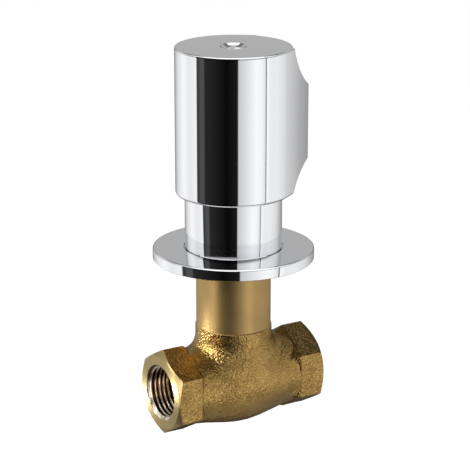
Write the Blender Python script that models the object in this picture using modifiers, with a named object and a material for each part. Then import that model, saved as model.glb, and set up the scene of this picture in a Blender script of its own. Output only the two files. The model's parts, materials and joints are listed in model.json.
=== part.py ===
"""Concealed shut-off valve: chrome grip handle and sleeve over a wall flange, on a brass globe body.

Metres, +Z up. The origin is where the pipe line, along X, crosses the spindle axis.
The valve is shut, with its seat washer resting on the seat.
"""

import math

import bmesh
import bpy
from mathutils import Matrix, Vector

# Clearances between pieces that seat or run on each other
FIT = 0.0003
MERGE = 0.00001

# Port ends
PORT_TO_PORT = 0.0637
HEX_ACROSS_FLATS = 0.0290
HEX_LENGTH = 0.0103
HEX_CHAMFER_INSET = 0.0006
HEX_CHAMFER_ANGLE = math.radians(30)
PORT_BORE_RADIUS = 0.00932
PORT_BORE_DEPTH = 0.0125
PORT_MOUTH_RADIUS = 0.0109
PORT_MOUTH_DEPTH = 0.0011
PORT_CONE_RADIUS = 0.0066
PORT_CONE_DEPTH = 0.0016

# Cast globe
BARREL_RADIUS = 0.0170
BARREL_END_RADIUS = 0.0142
BARREL_INTO_HEX = 0.0012
CAST_FILLET = 0.0045
CAST_FILLET_FADE_HEIGHT = 0.0080
CAST_SINK = 0.0001
PASSAGE_RADIUS = 0.0050
PASSAGE_PORT_OFFSET = 0.0035
PASSAGE_SEAT_OFFSET = 0.0090
SEAT_HEIGHT = 0.0022
SEAT_BORE_RADIUS = 0.0055
SEAT_RIM = 0.0015
SEAT_STEP = 0.0012
CHAMBER_RADIUS = 0.0095

# Machined neck
NECK_RADIUS = 0.0140
NECK_FOOT_HEIGHT = 0.0219
NECK_TOP_HEIGHT = 0.0500
NECK_CAST_STEP = 0.00045
NECK_CHAMFER = 0.0005
NECK_BORE_RADIUS = 0.0106
NECK_BORE_DEPTH = 0.0165

# Bonnet
GASKET_THICKNESS = 0.0010
GASKET_WIDTH = 0.0026
BONNET_HEX_ACROSS_FLATS = 0.0240
BONNET_HEX_HEIGHT = 0.0065
BONNET_BARREL_RADIUS = 0.0113
BONNET_INTO_HANDLE = 0.0037
BONNET_THREAD_RADIUS = 0.0095
BONNET_THREAD_HEIGHT = 0.0072
BONNET_SKIRT_HEIGHT = 0.0160
BONNET_SKIRT_CLEARANCE = 0.0006
GUIDE_ACROSS_FLATS = 0.0130
SHOULDER_HEIGHT = 0.0380

# Spindle
STEM_RADIUS = 0.0047
COLLAR_RADIUS = 0.0061
COLLAR_THICKNESS = 0.0020
THRUST_WASHER_THICKNESS = 0.0010
SCREW_RADIUS = 0.0039
SCREW_FOOT_HEIGHT = 0.0140
O_RING_THICKNESS = 0.0013
O_RING_LOWER_HEIGHT = 0.0560
O_RING_UPPER_HEIGHT = 0.0700
CLIP_THICKNESS = 0.0010
CLIP_WIDTH = 0.0024
CLIP_OPENING = math.radians(70)
CLIP_LAND = 0.0012
SPLINE_TEETH = 20
SPLINE_RADIUS = 0.0040
SPLINE_DEPTH = 0.0005
SPLINE_LENGTH = 0.0100
SPLINE_CHAMFER = 0.0006

# Plug that shuts the seat
WASHER_RADIUS = 0.0075
WASHER_THICKNESS = 0.0030
WASHER_HOLE_RADIUS = 0.0021
CARRIER_RADIUS = 0.0082
CARRIER_THICKNESS = 0.0020
CARRIER_LIP_DEPTH = 0.0011
CARRIER_SHANK_TOP = 0.0245
CARRIER_FLOOR = 0.0011
WASHER_SCREW_RADIUS = 0.0017
WASHER_SCREW_HEAD_RADIUS = 0.0032
WASHER_SCREW_HEAD_HEIGHT = 0.0015
WASHER_SCREW_GRIP = 0.0017

# Extension and the handle's fixing
EXTENSION_RADIUS = 0.0062
EXTENSION_LENGTH = 0.0154
ADAPTER_ACROSS_FLATS = 0.0130
HANDLE_SCREW_RADIUS = 0.0019
HANDLE_SCREW_LENGTH = 0.0100
HANDLE_SCREW_HEAD_RADIUS = 0.0036
HANDLE_SCREW_HEAD_HEIGHT = 0.0026
DRIVE_ACROSS_FLATS = 0.0030
DRIVE_DEPTH = 0.0015

# Handle
HANDLE_RADIUS = 0.0214
HANDLE_FOOT_HEIGHT = 0.0726
HANDLE_HEIGHT = 0.0547
HANDLE_WALL = 0.0018
HANDLE_CROWN = 0.0028
HANDLE_TOP_ROUND = 0.0008
HANDLE_FOOT_ROUND = 0.0010
GRIP_REACH = 0.0318
GRIP_AZIMUTH = math.radians(-2)
GRIP_TIP_RADIUS = 0.0013
GRIP_FLANK_RADIUS = 0.1000
GRIP_SCOOP_ROOT = 0.0175
GRIP_TOP_SCOOP_DEPTH = 0.0173
GRIP_TOP_SCOOP_RADIUS = 0.0280
GRIP_FOOT_SCOOP_DEPTH = 0.0092
GRIP_FOOT_SCOOP_RADIUS = 0.0160
GRIP_CORNER_SOFTNESS = 0.0012
BOSS_WALL = 0.0020
WEB_THICKNESS = 0.0024
CAP_RADIUS = 0.0046
CAP_HEIGHT = 0.0030
CAP_ROUND = 0.0007
CAP_DISH_RADIUS = 0.0034
CAP_DISH_DEPTH = 0.0002
CAP_PROUD = 0.0003

# Sleeve and wall flange
SLEEVE_RADIUS = 0.0180
SLEEVE_WALL = 0.0012
SLEEVE_FOOT_HEIGHT = 0.0483
SLEEVE_LIP_THICKNESS = 0.0016
SLEEVE_NUT_ACROSS_FLATS = 0.0240
SLEEVE_NUT_THICKNESS = 0.0040
FLANGE_RADIUS = 0.0300
FLANGE_FOOT_HEIGHT = 0.0478
FLANGE_THICKNESS = 0.0042
FLANGE_WALL = 0.0012
FLANGE_EDGE_ROUND = 0.0007
FLANGE_COLLAR_WALL = 0.0024
FLANGE_RING_THICKNESS = 0.0011
FLANGE_SEAL_GAP = 0.0018
FLANGE_SEAL_THICKNESS = 0.0018

# Facets
TURN_STEPS = 36
SMALL_STEPS = 24
RING_SIDES = 6
GRIP_END_FACETS = 3
GRIP_FLANK_FACETS = 6
GRIP_ROUND_FACETS = 18
CAVITY_END_FACETS = 2
CAVITY_FLANK_FACETS = 4
CAVITY_ROUND_FACETS = 11

# Sizes that follow from those above
BARREL_HALF_LENGTH = PORT_TO_PORT / 2 - HEX_LENGTH + BARREL_INTO_HEX
BONNET_HEX_FOOT = NECK_TOP_HEIGHT + GASKET_THICKNESS + 2 * FIT
BONNET_HEX_TOP = BONNET_HEX_FOOT + BONNET_HEX_HEIGHT
BONNET_SHOULDER_TOP = HANDLE_FOOT_HEIGHT + BONNET_INTO_HANDLE
BONNET_TOP = BONNET_SHOULDER_TOP + BONNET_THREAD_HEIGHT
CLIP_FOOT = BONNET_TOP + FIT
STEM_TOP = CLIP_FOOT + CLIP_THICKNESS + FIT + CLIP_LAND
SPINDLE_TOP = STEM_TOP + SPLINE_LENGTH
EXTENSION_FOOT = STEM_TOP + FIT
EXTENSION_SHOULDER = EXTENSION_FOOT + EXTENSION_LENGTH
EXTENSION_TOP = EXTENSION_SHOULDER + SPLINE_LENGTH
WEB_FOOT = EXTENSION_TOP + FIT
WEB_TOP = WEB_FOOT + WEB_THICKNESS
HANDLE_TOP = HANDLE_FOOT_HEIGHT + HANDLE_HEIGHT
WASHER_FOOT = SEAT_HEIGHT + FIT
CARRIER_FOOT = WASHER_FOOT + WASHER_THICKNESS + FIT
CARRIER_TOP = CARRIER_FOOT + CARRIER_THICKNESS
FLANGE_TOP = FLANGE_FOOT_HEIGHT + FLANGE_THICKNESS

# Colour, metallic and roughness of each material
FINISHES = {
    "chrome": ((0.80, 0.80, 0.81), 1.0, 0.05),
    "cast_brass": ((0.52, 0.36, 0.14), 1.0, 0.45),
    "turned_brass": ((0.74, 0.56, 0.28), 1.0, 0.28),
    "steel": ((0.55, 0.55, 0.56), 1.0, 0.30),
    "rubber": ((0.03, 0.03, 0.03), 0.0, 0.60),
    "fibre": ((0.42, 0.12, 0.08), 0.0, 0.75),
    "white_plastic": ((0.80, 0.79, 0.76), 0.0, 0.40),
    "foam": ((0.20, 0.20, 0.21), 0.0, 0.90),
}


def clear_scene():
    for obj in list(bpy.data.objects):
        bpy.data.objects.remove(obj, do_unlink=True)


def new_collection(name):
    collection = bpy.data.collections.new(name)
    bpy.context.scene.collection.children.link(collection)
    return collection


def material(node, finish):
    """A material of the node's own, in one of the finishes."""
    color, metallic, roughness = FINISHES[finish]
    made = bpy.data.materials.new(f"{node}_{finish}")
    made.use_nodes = True
    shader = made.node_tree.nodes["Principled BSDF"]
    shader.inputs["Base Color"].default_value = (*color, 1.0)
    shader.inputs["Metallic"].default_value = metallic
    shader.inputs["Roughness"].default_value = roughness
    made.diffuse_color = (*color, 1.0)
    return made


def as_object(name, mesh, finish=None):
    """A part of the valve, or a cutter where no finish is given."""
    obj = bpy.data.objects.new(name, mesh)
    if finish:
        PARTS.objects.link(obj)
        mesh.materials.append(material(name, finish))
        mesh.shade_smooth()
        mesh.set_sharp_from_angle(angle=math.radians(35))
    else:
        CUTTERS.objects.link(obj)
        obj.hide_render = True
        obj.display_type = "WIRE"
    return obj


def turned(name, profile, finish=None, steps=TURN_STEPS, closed=False):
    """A profile of (radius, height), down its outer side, turned about Z."""
    mesh = bpy.data.meshes.new(name)
    points = [(radius, 0.0, height) for radius, height in profile]
    edges = [(i, i + 1) for i in range(len(points) - 1)]
    if closed:
        edges.append((len(points) - 1, 0))
    mesh.from_pydata(points, edges, [])
    obj = as_object(name, mesh, finish)
    screw = obj.modifiers.new("Turn", "SCREW")
    screw.steps = steps
    screw.render_steps = steps
    screw.use_merge_vertices = True
    screw.merge_threshold = MERGE
    screw.use_smooth_shade = True
    return obj


def ring(name, finish, outer, inner, foot, height, steps=TURN_STEPS):
    """A flat ring with square edges."""
    top = foot + height
    profile = [(inner, top), (outer, top), (outer, foot), (inner, foot)]
    return turned(name, profile, finish, steps, closed=True)


def o_ring(name, finish, centre_radius, height, thickness, steps=TURN_STEPS):
    profile = [
        (
            centre_radius + thickness / 2 * math.sin(math.tau * i / RING_SIDES),
            height + thickness / 2 * math.cos(math.tau * i / RING_SIDES),
        )
        for i in range(RING_SIDES)
    ]
    return turned(name, profile, finish, steps, closed=True)


def prism(name, outline, foot, top, finish=None):
    """A flat outline of (x, y), anticlockwise, extruded along Z."""
    made = bmesh.new()
    base = made.faces.new([made.verts.new((x, y, foot)) for x, y in outline])
    grown = bmesh.ops.extrude_face_region(made, geom=[base])["geom"]
    lifted = [part for part in grown if isinstance(part, bmesh.types.BMVert)]
    bmesh.ops.translate(made, verts=lifted, vec=(0.0, 0.0, top - foot))
    bmesh.ops.recalc_face_normals(made, faces=made.faces)
    mesh = bpy.data.meshes.new(name)
    made.to_mesh(mesh)
    made.free()
    return as_object(name, mesh, finish)


def loft(name, sections, finish=None):
    """Skins outlines with the same number of points, given as (height, outline), foot first."""
    made = bmesh.new()
    rows = [[made.verts.new((x, y, height)) for x, y in outline] for height, outline in sections]
    count = len(rows[0])
    for lower, upper in zip(rows, rows[1:]):
        for i in range(count):
            after = (i + 1) % count
            made.faces.new((lower[i], lower[after], upper[after], upper[i]))
    made.faces.new(rows[-1])
    made.faces.new(rows[0][::-1])
    mesh = bpy.data.meshes.new(name)
    made.to_mesh(mesh)
    made.free()
    return as_object(name, mesh, finish)


def even_angles(count):
    return [math.tau * i / count for i in range(count)]


def hexagon(across_flats, first_corner=0.0):
    corner = across_flats / 2 / math.cos(math.pi / 6)
    angles = [first_corner + math.tau * i / 6 for i in range(6)]
    return [(corner * math.cos(a), corner * math.sin(a)) for a in angles]


def hex_prism(name, across_flats, foot, top, finish=None, first_corner=0.0):
    return prism(name, hexagon(across_flats, first_corner), foot, top, finish)


def spline_outline(tip_radius, depth):
    """Evenly spaced teeth with sloping flanks: four points to a tooth."""
    root = tip_radius - depth
    pitch = math.tau / SPLINE_TEETH
    outline = []
    for tooth in range(SPLINE_TEETH):
        for share, radius in ((0.0, root), (0.25, root), (0.42, tip_radius), (0.83, tip_radius)):
            angle = (tooth + share) * pitch
            outline.append((radius * math.cos(angle), radius * math.sin(angle)))
    return outline


def apply_boolean(target, other, operation):
    modifier = target.modifiers.new(f"{operation.title()} {other.name}", "BOOLEAN")
    modifier.operation = operation
    modifier.object = other
    return target


def cut(target, other):
    return apply_boolean(target, other, "DIFFERENCE")


def join(target, other):
    return apply_boolean(target, other, "UNION")


def keep_inside(target, other):
    return apply_boolean(target, other, "INTERSECT")


def arc(centre, radius, start, end, count):
    """Points (x, y) round a centre, from one angle to another."""
    angles = [start + (end - start) * i / count for i in range(count + 1)]
    return [(centre[0] + radius * math.cos(a), centre[1] + radius * math.sin(a)) for a in angles]


def axis_along_x(obj, toward=1):
    """Lays a shape made about Z on the pipe line."""
    obj.rotation_euler = (0.0, toward * math.pi / 2, 0.0)
    return obj


def slanting_passage(name, toward):
    """A round passage from one port to the middle of the body, above or below the seat."""
    port_end = PORT_TO_PORT / 2 - PORT_BORE_DEPTH - PORT_CONE_DEPTH / 2
    outer = Vector((toward * port_end, 0.0, toward * PASSAGE_PORT_OFFSET))
    inner = Vector((0.0, 0.0, toward * PASSAGE_SEAT_OFFSET))
    length = (outer - inner).length
    dome = arc((0.0, 0.0), PASSAGE_RADIUS, 0.0, -math.pi / 2, 3)
    passage = turned(
        name,
        [(0.0, length), (PASSAGE_RADIUS, length), *dome[:-1], (0.0, -PASSAGE_RADIUS)],
        steps=SMALL_STEPS,
    )
    turn = (outer - inner).to_track_quat("Z", "Y").to_matrix().to_4x4()
    passage.matrix_world = Matrix.Translation(inner) @ turn
    return passage


def port_cutter(name, toward):
    """The bore that takes the pipe's thread, with a coned bottom and an opened mouth."""
    face = PORT_TO_PORT / 2
    floor = face - PORT_BORE_DEPTH
    profile = [
        (0.0, face + FIT),
        (PORT_MOUTH_RADIUS, face + FIT),
        (PORT_MOUTH_RADIUS, face),
        (PORT_BORE_RADIUS, face - PORT_MOUTH_DEPTH),
        (PORT_BORE_RADIUS, floor),
        (PORT_CONE_RADIUS, floor - PORT_CONE_DEPTH),
        (0.0, floor - PORT_CONE_DEPTH),
    ]
    return axis_along_x(turned(name, profile), toward)


def port_hex(name, toward):
    """A hexagon end with the round chamfer that its outer face gets on the lathe."""
    face = PORT_TO_PORT / 2
    corner = HEX_ACROSS_FLATS / 2 / math.cos(math.pi / 6)
    face_radius = HEX_ACROSS_FLATS / 2 - HEX_CHAMFER_INSET
    blank_radius = corner + FIT
    slope = (blank_radius - face_radius) * math.tan(HEX_CHAMFER_ANGLE)
    hexagon_end = hex_prism(name, HEX_ACROSS_FLATS, face - HEX_LENGTH, face + FIT)
    blank = turned(
        f"{name}_blank",
        [
            (0.0, face),
            (face_radius, face),
            (blank_radius, face - slope),
            (blank_radius, face - HEX_LENGTH - FIT),
            (0.0, face - HEX_LENGTH - FIT),
        ],
    )
    axis_along_x(blank, toward)
    axis_along_x(hexagon_end, toward)
    return keep_inside(hexagon_end, blank)


def barrel_radius(along):
    """The globe's radius at a distance from its middle: fullest under the neck."""
    share = min(abs(along) / BARREL_HALF_LENGTH, 1.0)
    swell = (BARREL_RADIUS - BARREL_END_RADIUS) * math.cos(math.pi / 2 * share) ** 2
    return BARREL_END_RADIUS + swell


def outside_casting(x, y, z):
    """Rough distance outside barrel and neck with the corner between them filled, negative inside."""
    barrel = math.hypot(y, z) - barrel_radius(x)
    neck = math.hypot(x, y) - NECK_RADIUS - NECK_CAST_STEP
    neck += max(CAST_FILLET_FADE_HEIGHT - z, 0.0) / 2
    blend = max(CAST_FILLET - abs(barrel - neck), 0.0) / CAST_FILLET
    return min(barrel, neck) - blend**2 * CAST_FILLET / 4


def casting_outline(height):
    """A level cut of the filled casting near the neck, just under the barrel's own surface."""
    limit = NECK_RADIUS + 2 * NECK_CAST_STEP + CAST_FILLET
    outline = []
    for angle in even_angles(TURN_STEPS):
        across, along = math.cos(angle), math.sin(angle)
        inner, outer = NECK_RADIUS, limit
        while outer - inner > MERGE:
            reach = (inner + outer) / 2
            if outside_casting(reach * across, reach * along, height) < -CAST_SINK:
                inner = reach
            else:
                outer = reach
        outline.append((inner * across, inner * along))
    return outline


def make_valve_body():
    """One casting: barrel along X, neck along Z, hexagon ends and the partition with the seat."""
    count = 10
    swell = []
    for i in range(count + 1):
        along = BARREL_HALF_LENGTH * (1 - 2 * i / count)
        swell.append((barrel_radius(along), along))
    body = turned(
        "valve_body",
        [(0.0, BARREL_HALF_LENGTH), *swell, (0.0, -BARREL_HALF_LENGTH)],
        "cast_brass",
    )
    axis_along_x(body)

    count = 11
    cast_top = NECK_FOOT_HEIGHT - NECK_CAST_STEP
    cast_foot = CAST_FILLET_FADE_HEIGHT / 4
    levels = [cast_foot + (cast_top - cast_foot) * i / count for i in range(count + 1)]
    join(body, loft("neck_root", [(height, casting_outline(height)) for height in levels]))
    neck = turned(
        "neck",
        [
            (0.0, NECK_TOP_HEIGHT),
            (NECK_RADIUS - NECK_CHAMFER, NECK_TOP_HEIGHT),
            (NECK_RADIUS, NECK_TOP_HEIGHT - NECK_CHAMFER),
            (NECK_RADIUS, cast_foot),
            (0.0, cast_foot),
        ],
    )
    join(body, neck)
    for side, toward in (("inlet", -1), ("outlet", 1)):
        join(body, port_hex(f"{side}_hexagon", toward))
    for side, toward in (("inlet", -1), ("outlet", 1)):
        cut(body, port_cutter(f"{side}_bore", toward))
        cut(body, slanting_passage(f"{side}_passage", toward))

    floor = SEAT_HEIGHT - SEAT_STEP
    thread_foot = NECK_TOP_HEIGHT - NECK_BORE_DEPTH
    seat_radius = SEAT_BORE_RADIUS + SEAT_RIM
    chamber = turned(
        "chamber",
        [
            (0.0, NECK_TOP_HEIGHT + FIT),
            (NECK_BORE_RADIUS, NECK_TOP_HEIGHT + FIT),
            (NECK_BORE_RADIUS, thread_foot),
            (CHAMBER_RADIUS, thread_foot),
            (CHAMBER_RADIUS, floor),
            (seat_radius, floor),
            (seat_radius, SEAT_HEIGHT),
            (0.0, SEAT_HEIGHT),
        ],
    )
    cut(body, chamber)
    seat_bore = turned(
        "seat_bore",
        [
            (0.0, SEAT_HEIGHT + SEAT_STEP),
            (SEAT_BORE_RADIUS, SEAT_HEIGHT + SEAT_STEP),
            (SEAT_BORE_RADIUS, -PASSAGE_SEAT_OFFSET),
            (0.0, -PASSAGE_SEAT_OFFSET),
        ],
    )
    cut(body, seat_bore)


def make_bonnet():
    """Headwork screwed into the neck: it holds the spindle and guides the plug on a hexagon."""
    ring(
        "bonnet_gasket",
        "fibre",
        NECK_BORE_RADIUS + GASKET_WIDTH,
        NECK_BORE_RADIUS,
        NECK_TOP_HEIGHT + FIT,
        GASKET_THICKNESS,
        SMALL_STEPS,
    )
    thread_foot = NECK_TOP_HEIGHT - NECK_BORE_DEPTH + FIT
    thread_radius = NECK_BORE_RADIUS - FIT
    skirt_radius = CHAMBER_RADIUS - BONNET_SKIRT_CLEARANCE
    bonnet = turned(
        "bonnet",
        [
            (0.0, BONNET_TOP),
            (BONNET_THREAD_RADIUS - NECK_CHAMFER, BONNET_TOP),
            (BONNET_THREAD_RADIUS, BONNET_TOP - NECK_CHAMFER),
            (BONNET_THREAD_RADIUS, BONNET_SHOULDER_TOP),
            (BONNET_BARREL_RADIUS, BONNET_SHOULDER_TOP),
            (BONNET_BARREL_RADIUS, BONNET_HEX_FOOT + BONNET_HEX_HEIGHT / 2),
            (thread_radius, BONNET_HEX_FOOT + BONNET_HEX_HEIGHT / 2),
            (thread_radius, thread_foot),
            (skirt_radius, thread_foot),
            (skirt_radius, BONNET_SKIRT_HEIGHT),
            (0.0, BONNET_SKIRT_HEIGHT),
        ],
        "turned_brass",
    )
    join(
        bonnet,
        hex_prism("bonnet_hexagon", BONNET_HEX_ACROSS_FLATS, BONNET_HEX_FOOT, BONNET_HEX_TOP),
    )
    cut(
        bonnet,
        hex_prism("guide", GUIDE_ACROSS_FLATS, BONNET_SKIRT_HEIGHT - FIT, SHOULDER_HEIGHT),
    )
    stem_bore = turned(
        "stem_bore",
        [
            (0.0, BONNET_TOP + FIT),
            (STEM_RADIUS + FIT, BONNET_TOP + FIT),
            (STEM_RADIUS + FIT, SHOULDER_HEIGHT - FIT),
            (0.0, SHOULDER_HEIGHT - FIT),
        ],
    )
    cut(bonnet, stem_bore)


def stem_groove(radius, middle, width):
    """A groove in the stem with room for a ring of that width, on the way down its outer side."""
    top = middle + width / 2 + FIT
    foot = middle - width / 2 - FIT
    return [(STEM_RADIUS, top), (radius, top), (radius, foot), (STEM_RADIUS, foot)]


def make_spindle():
    """Turns without rising: the screw at its foot lifts the plug."""
    collar_top = SHOULDER_HEIGHT - THRUST_WASHER_THICKNESS - 2 * FIT
    collar_foot = collar_top - COLLAR_THICKNESS
    ring_groove_radius = STEM_RADIUS - O_RING_THICKNESS
    clip_groove_radius = STEM_RADIUS - CLIP_WIDTH / 3
    spindle = turned(
        "spindle",
        [
            (0.0, STEM_TOP),
            (STEM_RADIUS, STEM_TOP),
            *stem_groove(clip_groove_radius, CLIP_FOOT + CLIP_THICKNESS / 2, CLIP_THICKNESS),
            *stem_groove(ring_groove_radius, O_RING_UPPER_HEIGHT, O_RING_THICKNESS),
            *stem_groove(ring_groove_radius, O_RING_LOWER_HEIGHT, O_RING_THICKNESS),
            (STEM_RADIUS, collar_top),
            (COLLAR_RADIUS, collar_top),
            (COLLAR_RADIUS, collar_foot),
            (SCREW_RADIUS, collar_foot),
            (SCREW_RADIUS, SCREW_FOOT_HEIGHT + SPLINE_CHAMFER),
            (SCREW_RADIUS - SPLINE_CHAMFER, SCREW_FOOT_HEIGHT),
            (0.0, SCREW_FOOT_HEIGHT),
        ],
        "turned_brass",
        SMALL_STEPS,
    )
    spline = prism(
        "spindle_spline",
        spline_outline(SPLINE_RADIUS, SPLINE_DEPTH),
        STEM_TOP - FIT,
        SPINDLE_TOP,
    )
    join(spindle, spline)
    ring(
        "thrust_washer",
        "white_plastic",
        COLLAR_RADIUS,
        STEM_RADIUS + FIT,
        SHOULDER_HEIGHT - FIT - THRUST_WASHER_THICKNESS,
        THRUST_WASHER_THICKNESS,
        SMALL_STEPS,
    )
    ring_section = O_RING_THICKNESS - FIT
    for name, height in (("lower", O_RING_LOWER_HEIGHT), ("upper", O_RING_UPPER_HEIGHT)):
        o_ring(
            f"spindle_o_ring_{name}",
            "rubber",
            ring_groove_radius + FIT + ring_section / 2,
            height,
            ring_section,
            SMALL_STEPS,
        )
    clip = ring(
        "retaining_clip",
        "steel",
        clip_groove_radius + FIT + CLIP_WIDTH,
        clip_groove_radius + FIT,
        CLIP_FOOT,
        CLIP_THICKNESS,
        SMALL_STEPS,
    )
    reach = 2 * (STEM_RADIUS + CLIP_WIDTH)
    wedge = [
        (0.0, 0.0),
        (reach, -reach * math.tan(CLIP_OPENING / 2)),
        (reach, reach * math.tan(CLIP_OPENING / 2)),
    ]
    cut(clip, prism("clip_opening", wedge, CLIP_FOOT - FIT, CLIP_FOOT + CLIP_THICKNESS + FIT))


def make_plug():
    """Carrier on the spindle's screw, with the rubber washer that its small screw holds."""
    carrier = hex_prism(
        "plug_carrier",
        GUIDE_ACROSS_FLATS - 2 * FIT,
        CARRIER_FOOT,
        CARRIER_SHANK_TOP,
        "turned_brass",
    )
    lip_foot = CARRIER_FOOT - CARRIER_LIP_DEPTH
    disc = turned(
        "carrier_disc",
        [
            (0.0, CARRIER_TOP),
            (CARRIER_RADIUS, CARRIER_TOP),
            (CARRIER_RADIUS, lip_foot),
            (WASHER_RADIUS + FIT, lip_foot),
            (WASHER_RADIUS + FIT, CARRIER_FOOT),
            (0.0, CARRIER_FOOT),
        ],
    )
    join(carrier, disc)
    screw_floor = CARRIER_FOOT + WASHER_SCREW_GRIP + FIT
    bore = turned(
        "carrier_bore",
        [
            (0.0, CARRIER_SHANK_TOP + FIT),
            (SCREW_RADIUS + FIT, CARRIER_SHANK_TOP + FIT),
            (SCREW_RADIUS + FIT, screw_floor + CARRIER_FLOOR),
            (0.0, screw_floor + CARRIER_FLOOR),
        ],
        steps=SMALL_STEPS,
    )
    cut(carrier, bore)
    screw_hole = turned(
        "carrier_screw_hole",
        [
            (0.0, screw_floor),
            (WASHER_SCREW_RADIUS + FIT, screw_floor),
            (WASHER_SCREW_RADIUS + FIT, CARRIER_FOOT - FIT),
            (0.0, CARRIER_FOOT - FIT),
        ],
        steps=SMALL_STEPS,
    )
    cut(carrier, screw_hole)

    ring(
        "seat_washer",
        "rubber",
        WASHER_RADIUS,
        WASHER_HOLE_RADIUS,
        WASHER_FOOT,
        WASHER_THICKNESS,
        SMALL_STEPS,
    )

    head_top = WASHER_FOOT - FIT
    head_foot = head_top - WASHER_SCREW_HEAD_HEIGHT
    screw = turned(
        "washer_screw",
        [
            (0.0, CARRIER_FOOT + WASHER_SCREW_GRIP),
            (WASHER_SCREW_RADIUS, CARRIER_FOOT + WASHER_SCREW_GRIP),
            (WASHER_SCREW_RADIUS, head_top),
            (WASHER_SCREW_HEAD_RADIUS, head_top),
            (WASHER_SCREW_HEAD_RADIUS, head_foot + WASHER_SCREW_HEAD_HEIGHT / 3),
            (WASHER_SCREW_HEAD_RADIUS * 0.8, head_foot),
            (0.0, head_foot),
        ],
        "steel",
        SMALL_STEPS,
    )
    slot = WASHER_SCREW_HEAD_RADIUS * 1.2
    half = WASHER_SCREW_HEAD_HEIGHT / 5
    outline = [(-slot, -half), (slot, -half), (slot, half), (-slot, half)]
    cut(screw, prism("washer_screw_slot", outline, head_foot - FIT, head_foot + 2 * half))


def make_extension():
    """Splined extension over the spindle, and the insert that the handle is pressed on to."""
    extension = turned(
        "spindle_extension",
        [
            (0.0, EXTENSION_SHOULDER),
            (EXTENSION_RADIUS - SPLINE_CHAMFER, EXTENSION_SHOULDER),
            (EXTENSION_RADIUS, EXTENSION_SHOULDER - SPLINE_CHAMFER),
            (EXTENSION_RADIUS, EXTENSION_FOOT),
            (0.0, EXTENSION_FOOT),
        ],
        "turned_brass",
        SMALL_STEPS,
    )
    stud = prism(
        "extension_spline",
        spline_outline(SPLINE_RADIUS, SPLINE_DEPTH),
        EXTENSION_SHOULDER - SPLINE_CHAMFER,
        EXTENSION_TOP,
    )
    join(extension, stud)
    socket = prism(
        "extension_socket",
        spline_outline(SPLINE_RADIUS + FIT, SPLINE_DEPTH),
        EXTENSION_FOOT - FIT,
        SPINDLE_TOP + FIT,
    )
    cut(extension, socket)
    tapped = turned(
        "extension_hole",
        [
            (0.0, EXTENSION_TOP + FIT),
            (HANDLE_SCREW_RADIUS + FIT, EXTENSION_TOP + FIT),
            (HANDLE_SCREW_RADIUS + FIT, WEB_TOP - HANDLE_SCREW_LENGTH),
            (0.0, WEB_TOP - HANDLE_SCREW_LENGTH),
        ],
        steps=SMALL_STEPS,
    )
    cut(extension, tapped)

    adapter_foot = EXTENSION_SHOULDER + FIT
    adapter = hex_prism(
        "handle_adapter",
        ADAPTER_ACROSS_FLATS,
        adapter_foot,
        EXTENSION_TOP,
        "white_plastic",
    )
    adapter_bore = prism(
        "adapter_bore",
        spline_outline(SPLINE_RADIUS + FIT, SPLINE_DEPTH),
        adapter_foot - FIT,
        EXTENSION_TOP + FIT,
    )
    cut(adapter, adapter_bore)


def grip_outline(radius, reach, limit, facets):
    """A circle drawn out to a tip on +X, cut straight across where x reaches the limit.

    Two slightly crowned flanks are tangent to the circle and to the rounded tip. facets is how
    many steps half of the outline takes over its end, one flank and the round part."""
    end_facets, flank_facets, round_facets = facets
    tip = min(GRIP_TIP_RADIUS, radius)
    middle = reach - tip
    # The flank's circle holds both the body's circle and the tip's, touching each from inside
    to_body = GRIP_FLANK_RADIUS - radius
    to_tip = GRIP_FLANK_RADIUS - tip
    centre_x = (to_body**2 - to_tip**2 + middle**2) / (2 * middle)
    centre_y = -math.sqrt(max(to_body**2 - centre_x**2, 0.0))
    leave = math.atan2(-centre_y, -centre_x)
    arrive = math.atan2(-centre_y, middle - centre_x)
    corner = min(max(math.acos((limit - centre_x) / GRIP_FLANK_RADIUS), arrive), leave)

    def on_flank(turn):
        x = centre_x + GRIP_FLANK_RADIUS * math.cos(turn)
        return x, centre_y + GRIP_FLANK_RADIUS * math.sin(turn)

    half = []
    corner_x, corner_y = on_flank(corner)
    for i in range(end_facets):
        angle = math.atan2(corner_y, corner_x) * i / end_facets
        out = limit / math.cos(angle)
        if corner == arrive:
            out = min(out, middle * math.cos(angle) + math.sqrt(tip**2 - (middle * math.sin(angle)) ** 2))
        out = max(out, radius)
        half.append((out * math.cos(angle), out * math.sin(angle)))
    for i in range(flank_facets):
        half.append(on_flank(corner + (leave - corner) * i / flank_facets))
    for i in range(round_facets):
        turn = leave + (math.pi - leave) * i / round_facets
        half.append((radius * math.cos(turn), radius * math.sin(turn)))
    mirrored = [(x, -y) for x, y in half[:0:-1]]
    return half + [(-radius, 0.0)] + mirrored


def scoop_limit(along, depth, radius):
    """How far out a scoop leaves the fin, at a distance from the handle's end: an arc.

    It runs from the root, at the end, to the fin's full reach at the scoop's depth."""
    rise = GRIP_REACH - GRIP_SCOOP_ROOT
    chord = math.hypot(rise, depth)
    offset = math.sqrt(max(radius**2 - chord**2 / 4, 0.0)) / chord
    centre_along = depth / 2 - rise * offset
    centre_out = (GRIP_REACH + GRIP_SCOOP_ROOT) / 2 + depth * offset
    past = along - centre_along
    if past >= radius:
        return centre_out
    return centre_out - math.sqrt(radius**2 - past**2)


def grip_limit(height):
    """How far out the fin reaches at a height above the handle's foot, between its scoops."""

    def softer(a, b):
        blend = max(GRIP_CORNER_SOFTNESS - abs(a - b), 0.0) / GRIP_CORNER_SOFTNESS
        return min(a, b) - blend**2 * GRIP_CORNER_SOFTNESS / 4

    upper = scoop_limit(HANDLE_HEIGHT - height, GRIP_TOP_SCOOP_DEPTH, GRIP_TOP_SCOOP_RADIUS)
    lower = scoop_limit(height, GRIP_FOOT_SCOOP_DEPTH, GRIP_FOOT_SCOOP_RADIUS)
    return softer(softer(upper, GRIP_REACH), lower)


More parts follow.
